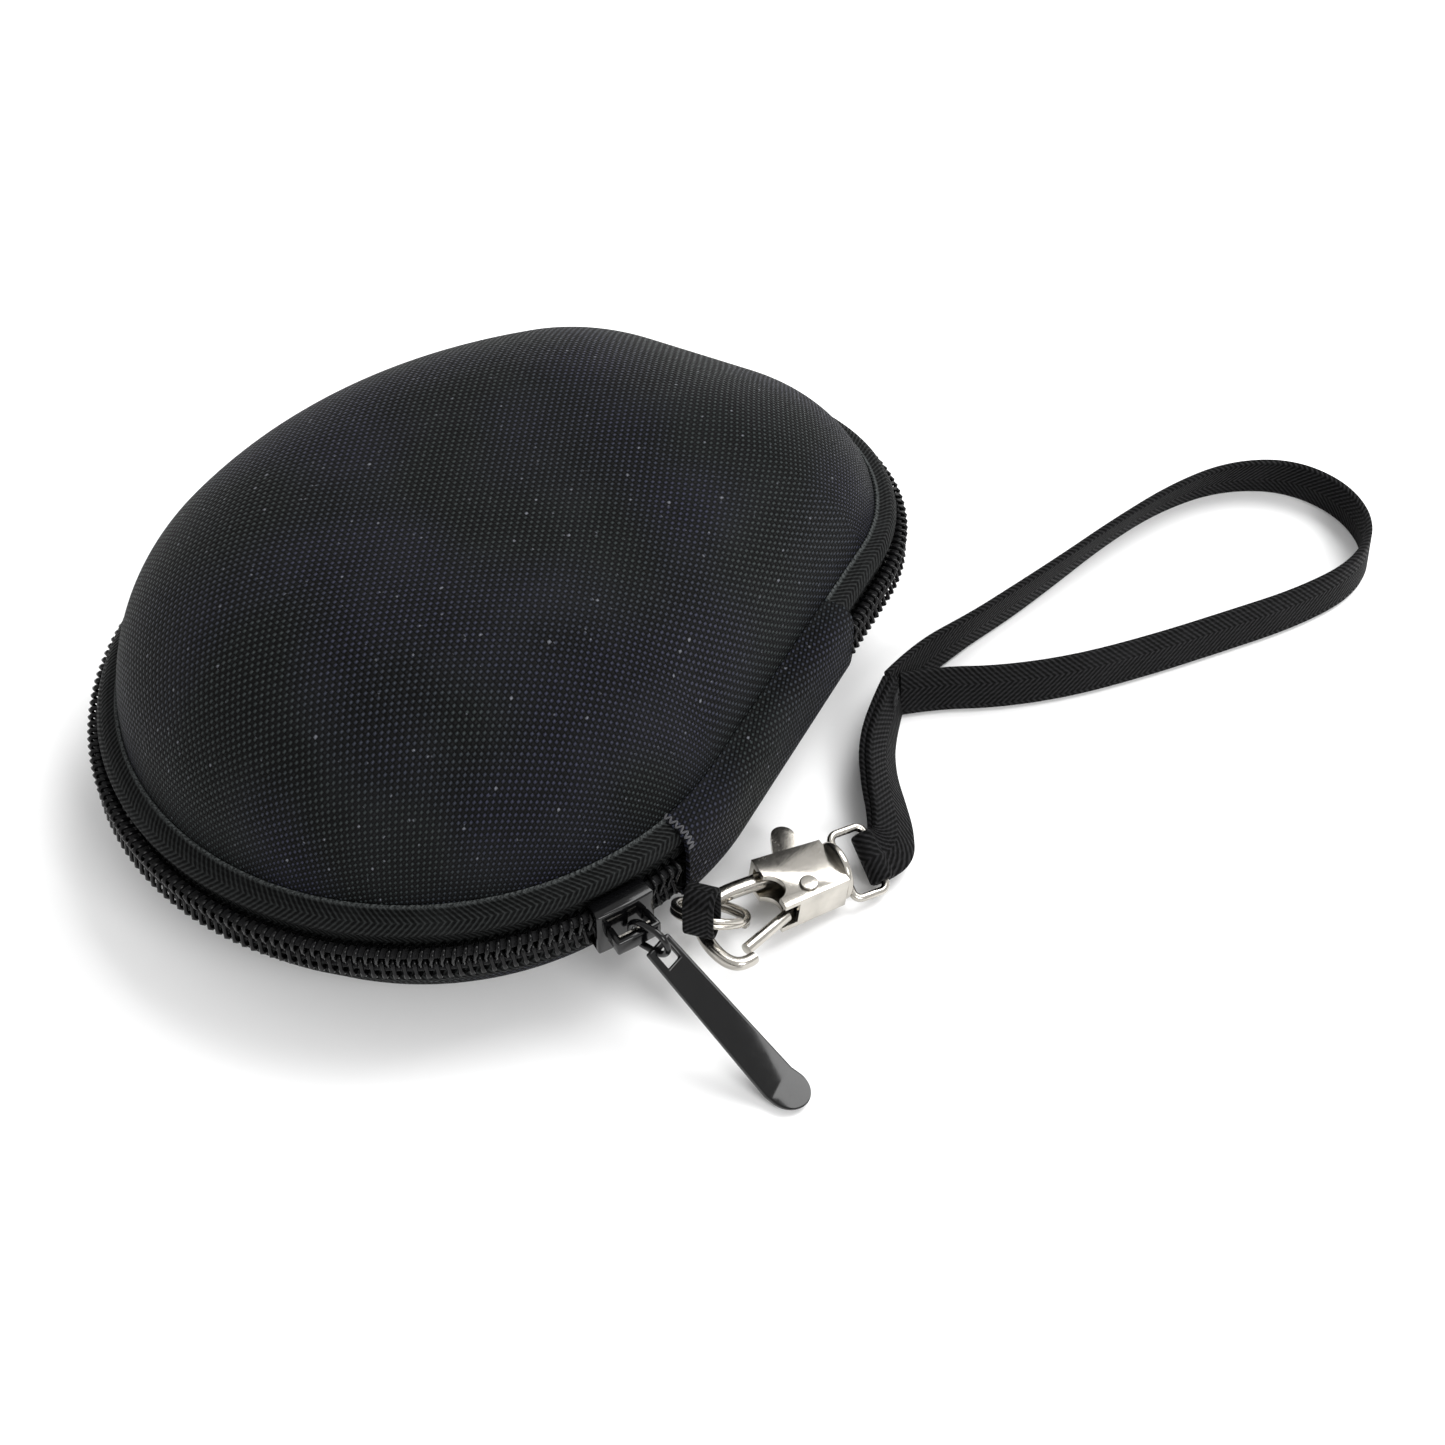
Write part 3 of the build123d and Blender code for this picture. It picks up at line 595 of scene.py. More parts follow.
def relief(tree, shader, height, depth, strength=1.0):
    """Bumps of a depth in metres."""
    bump = add_node(
        tree, "ShaderNodeBump", {"Strength": strength, "Distance": depth, "Height": height}
    )
    tree.links.new(bump.outputs["Normal"], shader.inputs["Normal"])


def brighter(shade, factor):
    """A shade times a factor, at most white."""
    return tuple(min(value * factor, 1.0) for value in shade)


def cloth_place(tree):
    """Place on the cloth, in metres along its UV map."""
    return add_node(tree, "ShaderNodeTexCoord").outputs["UV"]


def solid_place(tree):
    """Place in the object, in metres."""
    return add_node(tree, "ShaderNodeTexCoord").outputs["Object"]


def plain_weave(tree, place, pitch, angle):
    """Heights of a plain weave: warp floats and weft floats that take turns."""
    float_stretch = 1.22
    laid = add_node(
        tree, "ShaderNodeMapping", {"Vector": place, "Rotation": (0, 0, angle)}
    ).outputs["Vector"]
    parts = add_node(tree, "ShaderNodeSeparateXYZ", {0: laid})
    waves = [
        work_out(tree, "SINE", times(tree, parts.outputs[axis], pi / step))
        for axis, step in (("X", pitch), ("Y", pitch * float_stretch))
    ]
    checks = times(tree, waves[0], waves[1])
    warp = work_out(tree, "POWER", work_out(tree, "MAXIMUM", checks, 0.0), 0.6)
    weft = work_out(
        tree, "POWER",
        work_out(tree, "MAXIMUM", times(tree, checks, -1.0), 0.0), 0.7,
    )
    return warp, weft


def woven_cover_finish(name):
    """Coarse ballistic weave with satin yarns, painted shade in the gaps between them, faint colour
    shifts and stray light fibres.
    """
    shade = tuple(looks().cover)
    weft_height, stray_fibres, weave_depth = 0.32, 0.785, 0.42 * MM
    material, tree, shader = start_finish(
        name, Specular_IOR_Level=0.09, Sheen_Weight=0.004, Sheen_Roughness=0.4,
    )
    place = cloth_place(tree)
    warp, weft = plain_weave(tree, place, looks().weave_pitch, looks().weave_turn)
    yarn = noise(tree, place, 900.0, 1.0)
    wander = noise(tree, place, 60.0, 2.0)
    height = work_out(
        tree, "MULTIPLY",
        plus(tree, warp, times(tree, weft, weft_height)),
        grade(tree, yarn, 0.3, 0.7, 0.72, 1.12),
    )
    patch = noise(tree, place, 34.0, 1.0)
    cool = tint(
        tree, grade(tree, patch, 0.42, 0.6, 0.0, 1.0),
        (shade[0] * 0.86, shade[1] * 1.02, shade[2] * 0.90),
        (shade[0] * 0.92, shade[1] * 0.94, shade[2] * 1.40),
    )
    speck = work_out(tree, "GREATER_THAN", noise(tree, place, 700.0, 0.0), stray_fibres)
    # Painted shade: where the weave is low, between the yarns, the colour falls to a fiftieth of
    # the cloth's own.
    painted_gap_shade = brighter(shade, 0.02)
    body = tint(tree, grade(tree, height, 0.22, 0.95, 0.0, 1.0), painted_gap_shade, cool)
    body = tint(tree, grade(tree, wander, 0.4, 0.75, 0.0, 0.12), body, brighter(shade, 1.2))
    body = tint(
        tree, times(tree, speck, warp), body, brighter(shade, 4.0)
    )
    tree.links.new(body, shader.inputs["Base Color"])
    tree.links.new(grade(tree, height, 0.0, 0.9, 0.78, 0.40), shader.inputs["Roughness"])
    relief(tree, shader, height, weave_depth)
    return material


def twill_finish(name, shade, pitch, band, depth, edge=0.0):
    """Herringbone twill: slanting ribs that turn back at each band, with painted shade in their
    grooves and painted light on their crests, and a paler woven edge.
    """
    material, tree, shader = start_finish(
        name, Specular_IOR_Level=0.10, Sheen_Weight=0.006, Sheen_Roughness=0.4,
    )
    place = cloth_place(tree)
    parts = add_node(tree, "ShaderNodeSeparateXYZ", {0: place})
    across = work_out(tree, "PINGPONG", parts.outputs["Y"], band)
    slant = plus(tree, parts.outputs["X"], across)
    rib = work_out(tree, "SINE", times(tree, slant, 2 * pi / pitch))
    cross = work_out(
        tree, "SINE", times(tree, parts.outputs["Y"], 2 * pi / (pitch * 0.8))
    )
    fuzz = noise(tree, place, 1500.0, 2.0)
    height = work_out(
        tree, "ADD",
        times(tree, grade(tree, rib, -0.7, 0.9, 0.0, 1.0), 0.8),
        work_out(
            tree, "ADD", times(tree, cross, 0.12),
            grade(tree, fuzz, 0.3, 0.7, -0.1, 0.18),
        ),
    )
    # Painted shade in the grooves between the ribs, and painted light on the rib crests, set by the
    # ribs' height.
    body = tint(
        tree, grade(tree, height, 0.1, 0.95, 0.0, 1.0), brighter(shade, 0.08),
        brighter(shade, 2.0),
    )
    worn = noise(tree, place, 140.0, 2.0)
    body = tint(tree, grade(tree, worn, 0.5, 0.8, 0.0, 0.3), body, brighter(shade, 2.2))
    if edge:
        rim = grade(tree, parts.outputs["Y"], edge, edge * 1.3, 1.0, 0.0)
        frayed = grade(tree, noise(tree, place, 2200.0, 3.0), 0.38, 0.6, 0.15, 1.0)
        body = tint(
            tree, times(tree, rim, frayed), body, brighter(shade, 9.0)
        )
    tree.links.new(body, shader.inputs["Base Color"])
    tree.links.new(grade(tree, height, 0.0, 1.0, 0.85, 0.52), shader.inputs["Roughness"])
    relief(tree, shader, height, depth)
    return material


def knit_finish(name, shade, scale):
    """Thin brushed cloth or foam: fine grain with soft patches, on the solid's own place."""
    material, tree, shader = start_finish(
        name, Specular_IOR_Level=0.2, Sheen_Weight=0.05, Sheen_Roughness=0.5,
    )
    place = solid_place(tree)
    grain = noise(tree, place, scale, 3.0, 0.6)
    patch = noise(tree, place, 90.0, 2.0)
    body = tint(tree, grade(tree, grain, 0.3, 0.7, 0.0, 1.0), brighter(shade, 0.5), shade)
    body = tint(tree, grade(tree, patch, 0.4, 0.7, 0.0, 0.4), body, brighter(shade, 1.8))
    tree.links.new(body, shader.inputs["Base Color"])
    tree.links.new(grade(tree, grain, 0.3, 0.7, 0.95, 0.75), shader.inputs["Roughness"])
    relief(tree, shader, grain, 0.00012)
    return material


def nickel_finish(name):
    """Warm nickel plate with fine polishing marks and duller hollows."""
    shade = tuple(looks().nickel)
    material, tree, shader = start_finish(name, Metallic=1.0)
    place = solid_place(tree)
    marks = noise(tree, add_node(
        tree, "ShaderNodeMapping", {"Vector": place, "Scale": (3.0, 0.6, 1.4)}
    ).outputs["Vector"], 1800.0, 3.0, 0.6)
    haze = noise(tree, place, 260.0, 2.0)
    body = tint(tree, grade(tree, haze, 0.35, 0.7, 0.0, 1.0), shade, brighter(shade, 0.78))
    tree.links.new(body, shader.inputs["Base Color"])
    tree.links.new(
        work_out(
            tree, "ADD", grade(tree, marks, 0.3, 0.7, 0.10, 0.22),
            grade(tree, haze, 0.4, 0.75, 0.0, 0.10),
        ),
        shader.inputs["Roughness"],
    )
    relief(tree, shader, marks, 0.000012, 0.6)
    return material


def enamel_finish(name):
    """Gloss black enamel on zinc, with a faint orange peel and a painted highlight along its edges.
    """
    shade = tuple(looks().enamel)
    material, tree, shader = start_finish(
        name, Specular_IOR_Level=0.30, Coat_Weight=0.12, Coat_Roughness=0.04,
    )
    place = solid_place(tree)
    peel = noise(tree, place, 420.0, 2.0)
    dust = noise(tree, place, 2600.0, 1.0)
    # Painted highlight: sharp edges, found by pointiness and broken up by noise, are painted up to
    # nine times brighter.
    edges = add_node(tree, "ShaderNodeNewGeometry").outputs["Pointiness"]
    painted_edge_highlight = work_out(
        tree, "MULTIPLY", grade(tree, edges, 0.54, 0.62, 0.0, 0.35),
        grade(tree, noise(tree, place, 700.0, 3.0), 0.45, 0.6, 0.0, 1.0),
    )
    tree.links.new(tint(tree, painted_edge_highlight, shade, brighter(shade, 9.0)), shader.inputs["Base Color"])
    tree.links.new(
        work_out(
            tree, "ADD", grade(tree, peel, 0.3, 0.7, 0.09, 0.15),
            grade(tree, dust, 0.65, 0.8, 0.0, 0.08),
        ),
        shader.inputs["Roughness"],
    )
    relief(tree, shader, peel, 0.00002, 0.4)
    return material


def nylon_finish(name):
    """Glossy drawn nylon with slight streaks."""
    shade = tuple(looks().nylon)
    material, tree, shader = start_finish(name, Specular_IOR_Level=0.16)
    place = solid_place(tree)
    streak = noise(tree, place, 900.0, 2.0)
    tree.links.new(
        tint(tree, grade(tree, streak, 0.35, 0.7, 0.0, 1.0), shade, brighter(shade, 1.8)),
        shader.inputs["Base Color"],
    )
    tree.links.new(grade(tree, streak, 0.3, 0.7, 0.10, 0.18), shader.inputs["Roughness"])
    relief(tree, shader, streak, 0.00003, 0.4)
    return material


def floor_finish():
    """Matt white paper."""
    material, tree, shader = start_finish("studio_paper", Roughness=0.9, Specular_IOR_Level=0.2)
    grain = noise(tree, solid_place(tree), 300.0, 3.0)
    shade = tuple(looks().floor)
    tree.links.new(tint(tree, grain, shade, brighter(shade, 0.985)), shader.inputs["Base Color"])
    return material


def made(name, maker, *values):
    """The named finish, made the first time that it is asked for."""
    title = name + "_finish"
    return bpy.data.materials.get(title) or maker(title, *values)


def cover_cloth():
    """Cloth of both domes and of the hinge."""
    return made("woven_cover", woven_cover_finish)


def tape_cloth():
    """Narrow twill of the zip's tapes, with a woven edge."""
    rib_pitch, band, depth, edge = 0.95 * MM, 2.4 * MM, 0.22 * MM, 2.2 * MM
    return made("twill_tape", twill_finish, tuple(looks().tape), rib_pitch, band, depth, edge)


def webbing_cloth():
    """Twill of the wrist strap and the ring's tab."""
    strap = bpy.context.scene.case_strap
    return made(
        "webbing", twill_finish, tuple(looks().webbing), strap.rib_pitch, strap.width / 2, 0.2 * MM
    )


def inner_knit():
    """Thin brushed cloth inside the case."""
    return made("inner_knit", knit_finish, tuple(looks().lining), 2400.0)


def sewing_thread():
    """Matt thread of the seams and of the coils' filler cords."""
    return made("thread", knit_finish, THREAD, 4000.0)


def nickel_plate():
    """Plate of the clasp, the ring and the springs."""
    return made("nickel", nickel_finish)


def enamel():
    """Enamel of the slider and its pull."""
    return made("black_enamel", enamel_finish)


# ---- view and strap ----------------------------------------------------------------------------

# Plan routes in millimetres. The neck's stitches keep to the middle of its two layers.
STITCH_ROUTE = [(69.3, 12.9), (65.2, 18.2), (61.0, 26.0), (58.2, 34.5), (57.3, 43.0)]
NECK_ROUTE = [(68.0, 17.6), (64.4, 22.8), (60.8, 28.6), (58.4, 35.6), (57.3, 43.0)]
LOOP_ROUTE = [
    (56.5, 43.4), (58.1, 51.5), (61.9, 60.5), (66.2, 70.5), (70.6, 82.0), (75.2, 95.0),
    (80.8, 107.8), (88.3, 118.3), (98.6, 123.8), (109.4, 121.6), (116.4, 113.6), (116.3, 102.8),
    (109.6, 91.4), (100.6, 80.6), (91.2, 69.6), (81.4, 59.4), (71.6, 51.9), (63.2, 47.4),
    (58.3, 43.5),
]


class CASE_OT_view(Operator):
    """Camera above the right front corner, looking down at the case"""

    bl_idname = "case.view"
    bl_label = "View"

    def execute(self, context):
        camera = bpy.data.cameras.new("view")
        camera.lens = 54.8
        camera.sensor_width = 36.0
        camera.clip_start, camera.clip_end = 0.01, 20.0
        holder = bpy.data.objects.new("view", camera)
        holder.location = (0.1422, -0.1882, 0.2600)
        holder.rotation_euler = (radians(43.0), 0.0, radians(26.56))
        context.scene.collection.objects.link(holder)
        context.scene.camera = holder
        context.scene.view_settings.view_transform = "Standard"
        return {"FINISHED"}


def clasp_frame():
    """Centre, axis, across and up of the clasp, as in its CAD."""
    clasp = bpy.context.scene.case_clasp
    axis = Vector((
        cos(clasp.heading) * cos(clasp.pitch), sin(clasp.heading) * cos(clasp.pitch),
        -sin(clasp.pitch),
    ))
    across = Vector((-sin(clasp.heading), cos(clasp.heading), 0))
    return Vector(clasp.centre), axis, across, axis.cross(across)


# along the clasp's axis, from the middle of its housing
BAIL_NEAR = 7.75 * MM
BAIL_BAR = 13.55 * MM
HOOK_SEAT = -14.2 * MM


def bail_frame():
    """Across and normal of the bail, and the middle of the bar that the strap folds round."""
    centre, axis, across, up = clasp_frame()
    roll = bpy.context.scene.case_clasp.bail_roll
    along = across * cos(roll) + up * sin(roll)
    return along, axis.cross(along), centre + axis * BAIL_BAR


# share of the loop's length, and the share of its lean that it has there
LEANS = ((0.0, -0.8), (0.12, 0.4), (0.3, 1.3), (0.5, 0.3), (0.75, 0.6), (1.0, 0.9))


def leaning(share):
    """How much of its lean the loop has at a share of its length."""
    for (start, first), (stop, last) in zip(LEANS, LEANS[1:]):
        if share <= stop:
            return first + (last - first) * eased((share - start) / (stop - start))
    return LEANS[-1][1]


def webbing_section(strap):
    """Webbing with rounded selvedges: X through it, Y across it."""
    return bar_section(strap.thickness, strap.width, strap.thickness * SELVEDGE, 3)


class CASE_OT_wrist_strap(Operator):
    """Loop of webbing, its doubled neck and the stitches that hold it"""

    bl_idname = "case.wrist_strap"
    bl_label = "Wrist Strap"

    def execute(self, context):
        strap = context.scene.case_strap
        finish = webbing_cloth()
        loop_line = smooth_line([(x * MM, y * MM, strap.height) for x, y in LOOP_ROUTE], 12)
        middle = sum(loop_line, Vector()) / len(loop_line)
        along = directions(loop_line)
        stations = []
        for index, (point, heading) in enumerate(zip(loop_line, along)):
            share = index / (len(loop_line) - 1)
            side = UP.cross(heading).normalized()
            lean = strap.loop_lean * leaning(share)
            inward = side if side.dot(middle - point) > 0 else -side
            upright = (UP * cos(lean) + inward * sin(lean)).normalized()
            through = heading.cross(upright).normalized()
            stations.append((point, through, upright, 1.0, 1.0))
        loop = swept("strap_loop_webbing", stations, webbing_section(strap), smooth=50)
        neck = self.neck(strap)
        stitches = self.stitches(strap)
        hand_over(neck, "swivel", "webbing", finish, "strap_neck")
        hand_over(stitches, "swivel", "thread", sewing_thread(), "strap_stitches")
        hand_over(loop, "swivel", "webbing", finish, "strap_loop")
        return {"FINISHED"}

    def neck(self, strap):
        """One strip: down to the bail, round its bar and back, twisting as it goes."""
        bail_along, bail_normal, bar = bail_frame()
        _, axis, _, _ = clasp_frame()
        neck_start, straight = 0.6 * MM, 2.4 * MM
        first_lean, lean_lost = 62.0, 50.0
        start = bar + axis * neck_start
        line = smooth_line(
            [start, start + axis * straight]
            + [Vector((x * MM, y * MM, strap.height)) for x, y in NECK_ROUTE], 10,
        )
        along = directions(line)
        half = strap.thickness * 0.53
        fold = 1.05 * MM + strap.thickness / 2
        outer, inner = [], []
        count = len(line)
        for index, (point, heading) in enumerate(zip(line, along)):
            share = index / (count - 1)
            ease = eased(min(share / 0.5, 1.0))
            lean = radians(first_lean - lean_lost * share * share)
            standing = UP * cos(lean) - Vector((1, 0, 0)) * sin(lean)
            upright = (bail_along * (1 - ease) + standing * ease).normalized()
            through = heading.cross(upright).normalized()
            upright = through.cross(heading).normalized()
            outer.append((point + through * half, through, upright, 1.0, 1.0))
            inner.append((point - through * half, through * -1, upright, 1.0, 1.0))
        turns = []
        for angle in angles(pi / 2, 3 * pi / 2, 8):
            spoke = axis * cos(angle) + bail_normal * sin(angle)
            turns.append((bar + spoke * fold, spoke, bail_along, 1.0, 1.0))
        if (outer[0][0] - turns[0][0]).length > (outer[0][0] - turns[-1][0]).length:
            turns.reverse()
        stations = list(reversed(outer[1:])) + turns + inner[1:]
        return swept("strap_neck_webbing", stations, webbing_section(strap), smooth=50)

    def stitches(self, strap):
        """Short thick threads across the neck, in two rows on each face, and down its length."""
        line = smooth_line([(x * MM, y * MM, strap.height) for x, y in STITCH_ROUTE], 10)
        along = directions(line)
        rows_back, threads, spacing, slant = (1.3, 3.6), 6, 1.25 * MM, 0.35
        places = []
        for face in (-1, 1):
            for back in rows_back:
                index = self.index_back(line, back * MM)
                point, heading = line[index], along[index]
                side = UP.cross(heading).normalized()
                for row in range(threads):
                    height = (row - (threads - 1) / 2) * spacing
                    places.append(self.thread_place(
                        point + side * face * (strap.thickness * 1.04) + UP * height,
                        (heading + UP * slant * (1 if row % 2 else -1)).normalized(), side,
                    ))
        return stitched("strap_stitching", places)

    @staticmethod
    def index_back(line, distance):
        """Index of the point that lies a distance back from a line's end."""
        way, index = 0.0, len(line) - 1
        while index > 0 and way < distance:
            way += (line[index] - line[index - 1]).length
            index -= 1
        return index

    @staticmethod
    def thread_place(point, heading, side):
        """Place of one stitch, 1.7 mm long, on the face of the webbing."""
        return set_at(point, (heading, side, heading.cross(side))) @ Matrix.Diagonal(
            (0.85 * MM, 0.22 * MM, 0.24 * MM, 1)
        )


# ---- the case ----------------------------------------------------------------------------------


COVER_CLOTH = 0.75 * MM
CREASE_DEPTH = 0.35 * MM  # how far the foot of each cover is tucked under the flange's edge
CREASE_DROP = 1.5 * MM
FOOT_DROP = 0.8 * MM


def lid_level(share):
    """Height above the split, inset and lean at a share of the way up the dome's wall."""
    case = sizes()
    angle = case.crown_angle * share
    height = case.flange_top - FOOT_DROP + case.lid_rise * sin(angle)
    inset = case.flange_width + case.lid_run * (1 - cos(angle))
    return height, inset, case.lid_lean * sin(angle) ** 1.2


class CASE_OT_dome_cover(Operator):
    """Moulded lid cover in woven cloth, from the crease at the flange to the crown"""

    bl_idname = "case.dome_cover"
    bl_label = "Dome Cover"

    def execute(self, context):
        case = sizes()
        wall, crown_rows = case.wall_rows, 16
        spots = outline_spots(case.round_columns)
        crease = case.split_height + case.flange_top - CREASE_DROP
        levels = [ring_at(spots, case.flange_width + CREASE_DEPTH, crease)]
        for row in range(wall + 1):
            height, inset, lean = lid_level(row / wall)
            levels.append(ring_at(spots, inset, case.split_height + height, lean))
        edge_row, edge = len(levels) - 1, levels[-1]
        middle = Vector((0.0, 8.0 * MM, edge[0].z + case.crown_rise))
        slope = case.lid_rise * cos(case.crown_angle) / (case.lid_run * sin(case.crown_angle))
        for row in range(1, crown_rows + 1):
            ring = []
            for point in edge:
                spot = point.lerp(middle, row / crown_rows)
                inwards = (Vector((point.x, point.y)) - Vector((spot.x, spot.y))).length
                swell = case.crown_rise * (1 - exp(-inwards * slope / case.crown_rise))
                ring.append(Vector((spot.x, spot.y, point.z + swell)))
            levels.append(ring)
        for spot in levels[-1]:
            spot.z = middle.z
        faces_out = outward(spots, case.lid_lean * sin(case.crown_angle) ** 1.2)
        dome = laid_grid("dome_cover", levels, dome_map(levels, edge_row, faces_out))
        close_seams(dome, caps=False, smooth=60)
        thickened(dome, UP, COVER_CLOTH, 60)
        hand_over(dome, "lid", "woven_cover", cover_cloth(), "upper_cover")
        return {"FINISHED"}


class CASE_OT_tray(Operator):
    """Cloth, foam and lining finishes on the parts of the shells that keep their CAD shape"""

    bl_idname = "case.tray"
    bl_label = "Tray And Linings"

    def execute(self, context):
        foam = made("foam_board", knit_finish, FOAM, 5200.0)
        for node, finish in (
            ("upper_shell", foam), ("lower_shell", foam),
            ("upper_lining", inner_knit()), ("lower_lining", inner_knit()),
        ):
            dress(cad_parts[node], finish)
        self.tray_cover()
        return {"FINISHED"}

    @staticmethod
    def tray_cover():
        """Underside of the case: a shallow moulded tray in the same woven cloth."""
        case = sizes()
        spots = outline_spots(case.round_columns)
        wall_rows, floor_rows, tray_run = 14, 8, 9.0 * MM
        crease = case.split_height - case.flange_top + CREASE_DROP
        levels = [ring_at(spots, case.flange_width + CREASE_DEPTH, crease)]
        foot = case.split_height - case.flange_top + FOOT_DROP
        for angle in angles(0.0, pi / 2, wall_rows):
            inset = case.flange_width + tray_run * (1 - cos(angle))
            levels.append(ring_at(spots, inset, foot - foot * sin(angle)))
        edge_row, edge = len(levels) - 1, levels[-1]
        middle = Vector((0.0, 14.0 * MM, 0.0))
        for row in range(1, floor_rows + 1):
            levels.append([point.lerp(middle, row / floor_rows) for point in edge])
        tray = laid_grid("tray_cover", levels, dome_map(levels, edge_row, outward(spots)))
        close_seams(tray, caps=False, smooth=60)
        thickened(tray, -UP, COVER_CLOTH, 60)
        hand_over(tray, "base", "woven_cover", cover_cloth(), "lower_cover")


def zip_spots(step, under=0.0):
    """Spots round the outline between the zip's ends, or further under the hinge cloth."""
    teeth, case = bpy.context.scene.case_zip, sizes()
    total = outline_total()
    start = (teeth.rear_end - under / 2) / total
    stop = 1.0 - (teeth.front_end * case.front_radius - under) / total
    count = int((stop - start) * total / step)
    return outline_spots(count, start, stop), total


class CASE_OT_zip_tapes(Operator):
    """Twill tapes over the flange, each with a raised edge at the foot of the shell"""

    bl_idname = "case.zip_tapes"
    bl_label = "Zip Tapes"

    # inset from the zip's face and height above the split, from the crease to the coil
    EDGE = [
        (5.75, 5.5), (5.45, 6.3), (5.30, 7.05), (5.02, 7.38), (4.70, 7.30), (4.52, 6.98),
        (4.10, 6.90), (3.55, 6.84), (2.95, 6.62), (2.40, 6.22), (1.95, 5.70), (1.70, 5.10),
        (1.75, 4.60), (2.05, 4.25), (2.45, 3.90), (2.62, 3.00), (2.70, 2.00), (2.74, 0.70),
    ]

    def execute(self, context):
        spots, total = zip_spots(1.2 * MM, 5.0 * MM)
        for name, side, body, node in (
            ("upper_tape", 1, "lid", "upper_zip_tape"),
            ("lower_tape", -1, "base", "lower_zip_tape"),
        ):
            profile = [(inset * MM, side * height * MM) for inset, height in self.EDGE]
            tape = laid_grid(name, *profile_rows(profile, spots, total))
            thickened(tape, Vector((0, -1, 0)), 0.45 * MM, 50)
            hand_over(tape, body, "twill_tape", tape_cloth(), node)
        return {"FINISHED"}


class CASE_OT_zip_coils(Operator):
    """Two rows of nylon coil whose turns mesh at the split"""

    bl_idname = "case.zip_coils"
    bl_label = "Zip Coils"

    def execute(self, context):
        case, teeth = sizes(), context.scene.case_zip
        spots, _ = zip_spots(teeth.tooth_pitch)
        line = ring_at(spots, 0.0, case.split_height)
        for name, side, body, node in (
            ("upper_coil", 1, "lid", "upper_zip_coil"),
            ("lower_coil", -1, "base", "lower_zip_coil"),
        ):
            tooth = self.tooth(teeth)
            shift = 0.25 * teeth.tooth_pitch * side
            frames = []
            for point, out in zip(line, outward(spots)):
                along = UP.cross(out).normalized()
                frames.append(set_at(point + along * shift, (along, out, UP * side)))
            row = strung(name, tooth, frames)
            if side < 0:
                in_edit(row)
                bpy.ops.mesh.normals_make_consistent(inside=False)
                bpy.ops.object.mode_set(mode="OBJECT")
            hand_over(row, body, "nylon_coil", made("nylon_coil", nylon_finish), node)
            self.core(side, body, teeth)
        return {"FINISHED"}

    @staticmethod
    def core(side, body, teeth):
        """Filler cord that the turns of the coil are wound round, and sewn through."""
        case = sizes()
        spots, _ = zip_spots(2.2 * MM)
        height = case.split_height + side * (teeth.coil_gap + teeth.core_height)
        line = ring_at(spots, teeth.core_inset, height)
        stations = [(point, out, UP, 1.0, 1.0) for point, out in zip(line, outward(spots))]
        name = "upper_coil_core" if side > 0 else "lower_coil_core"
        core = swept(name, stations, round_section(teeth.core_radius, 10), smooth=60)
        hand_over(core, body, "thread", sewing_thread())

    @staticmethod
    def tooth(teeth):
        """One turn: out of the tape, over the face, into the chain, with a swollen head."""
        bend = (2 * teeth.coil_radius + teeth.coil_gap) / MM - 0.75
        path = [
            (0.34, -2.30, bend), (0.24, -1.10, bend + 0.28), (0.12, -0.35, bend + 0.22),
            (0.02, -0.02, bend - 0.15), (-0.10, -0.12, bend - 0.75), (-0.24, -0.34, 0.55),
            (-0.34, -0.52, -0.15), (-0.30, -1.05, -0.42), (-0.26, -1.90, -0.10),
        ]
        sides = 7
        swell = [0.8, 0.95, 1.1, 1.15, 1.0, 1.0, 1.25, 1.2, 0.9]
        line = [Vector(point) * MM for point in path]
        heads = directions(line)
        points, faces = [], []
        for point, heading, size in zip(line, heads, swell):
            across = Vector((1, 0, 0))
            across = (across - heading * across.dot(heading)).normalized()
            other = heading.cross(across)
            for x, y in round_section(teeth.coil_wire * size, sides):
                points.append(point + across * x + other * y)
        for row in range(len(line) - 1):
            for side in range(sides):
                a, b = row * sides + side, row * sides + (side + 1) % sides
                faces.append((a, b, b + sides, a + sides))
        faces.append(tuple(range(sides - 1, -1, -1)))
        last = (len(line) - 1) * sides
        faces.append(tuple(range(last, last + sides)))
        mesh = bpy.data.meshes.new("coil_turn")
        mesh.from_pydata(points, [], faces)
        return mesh


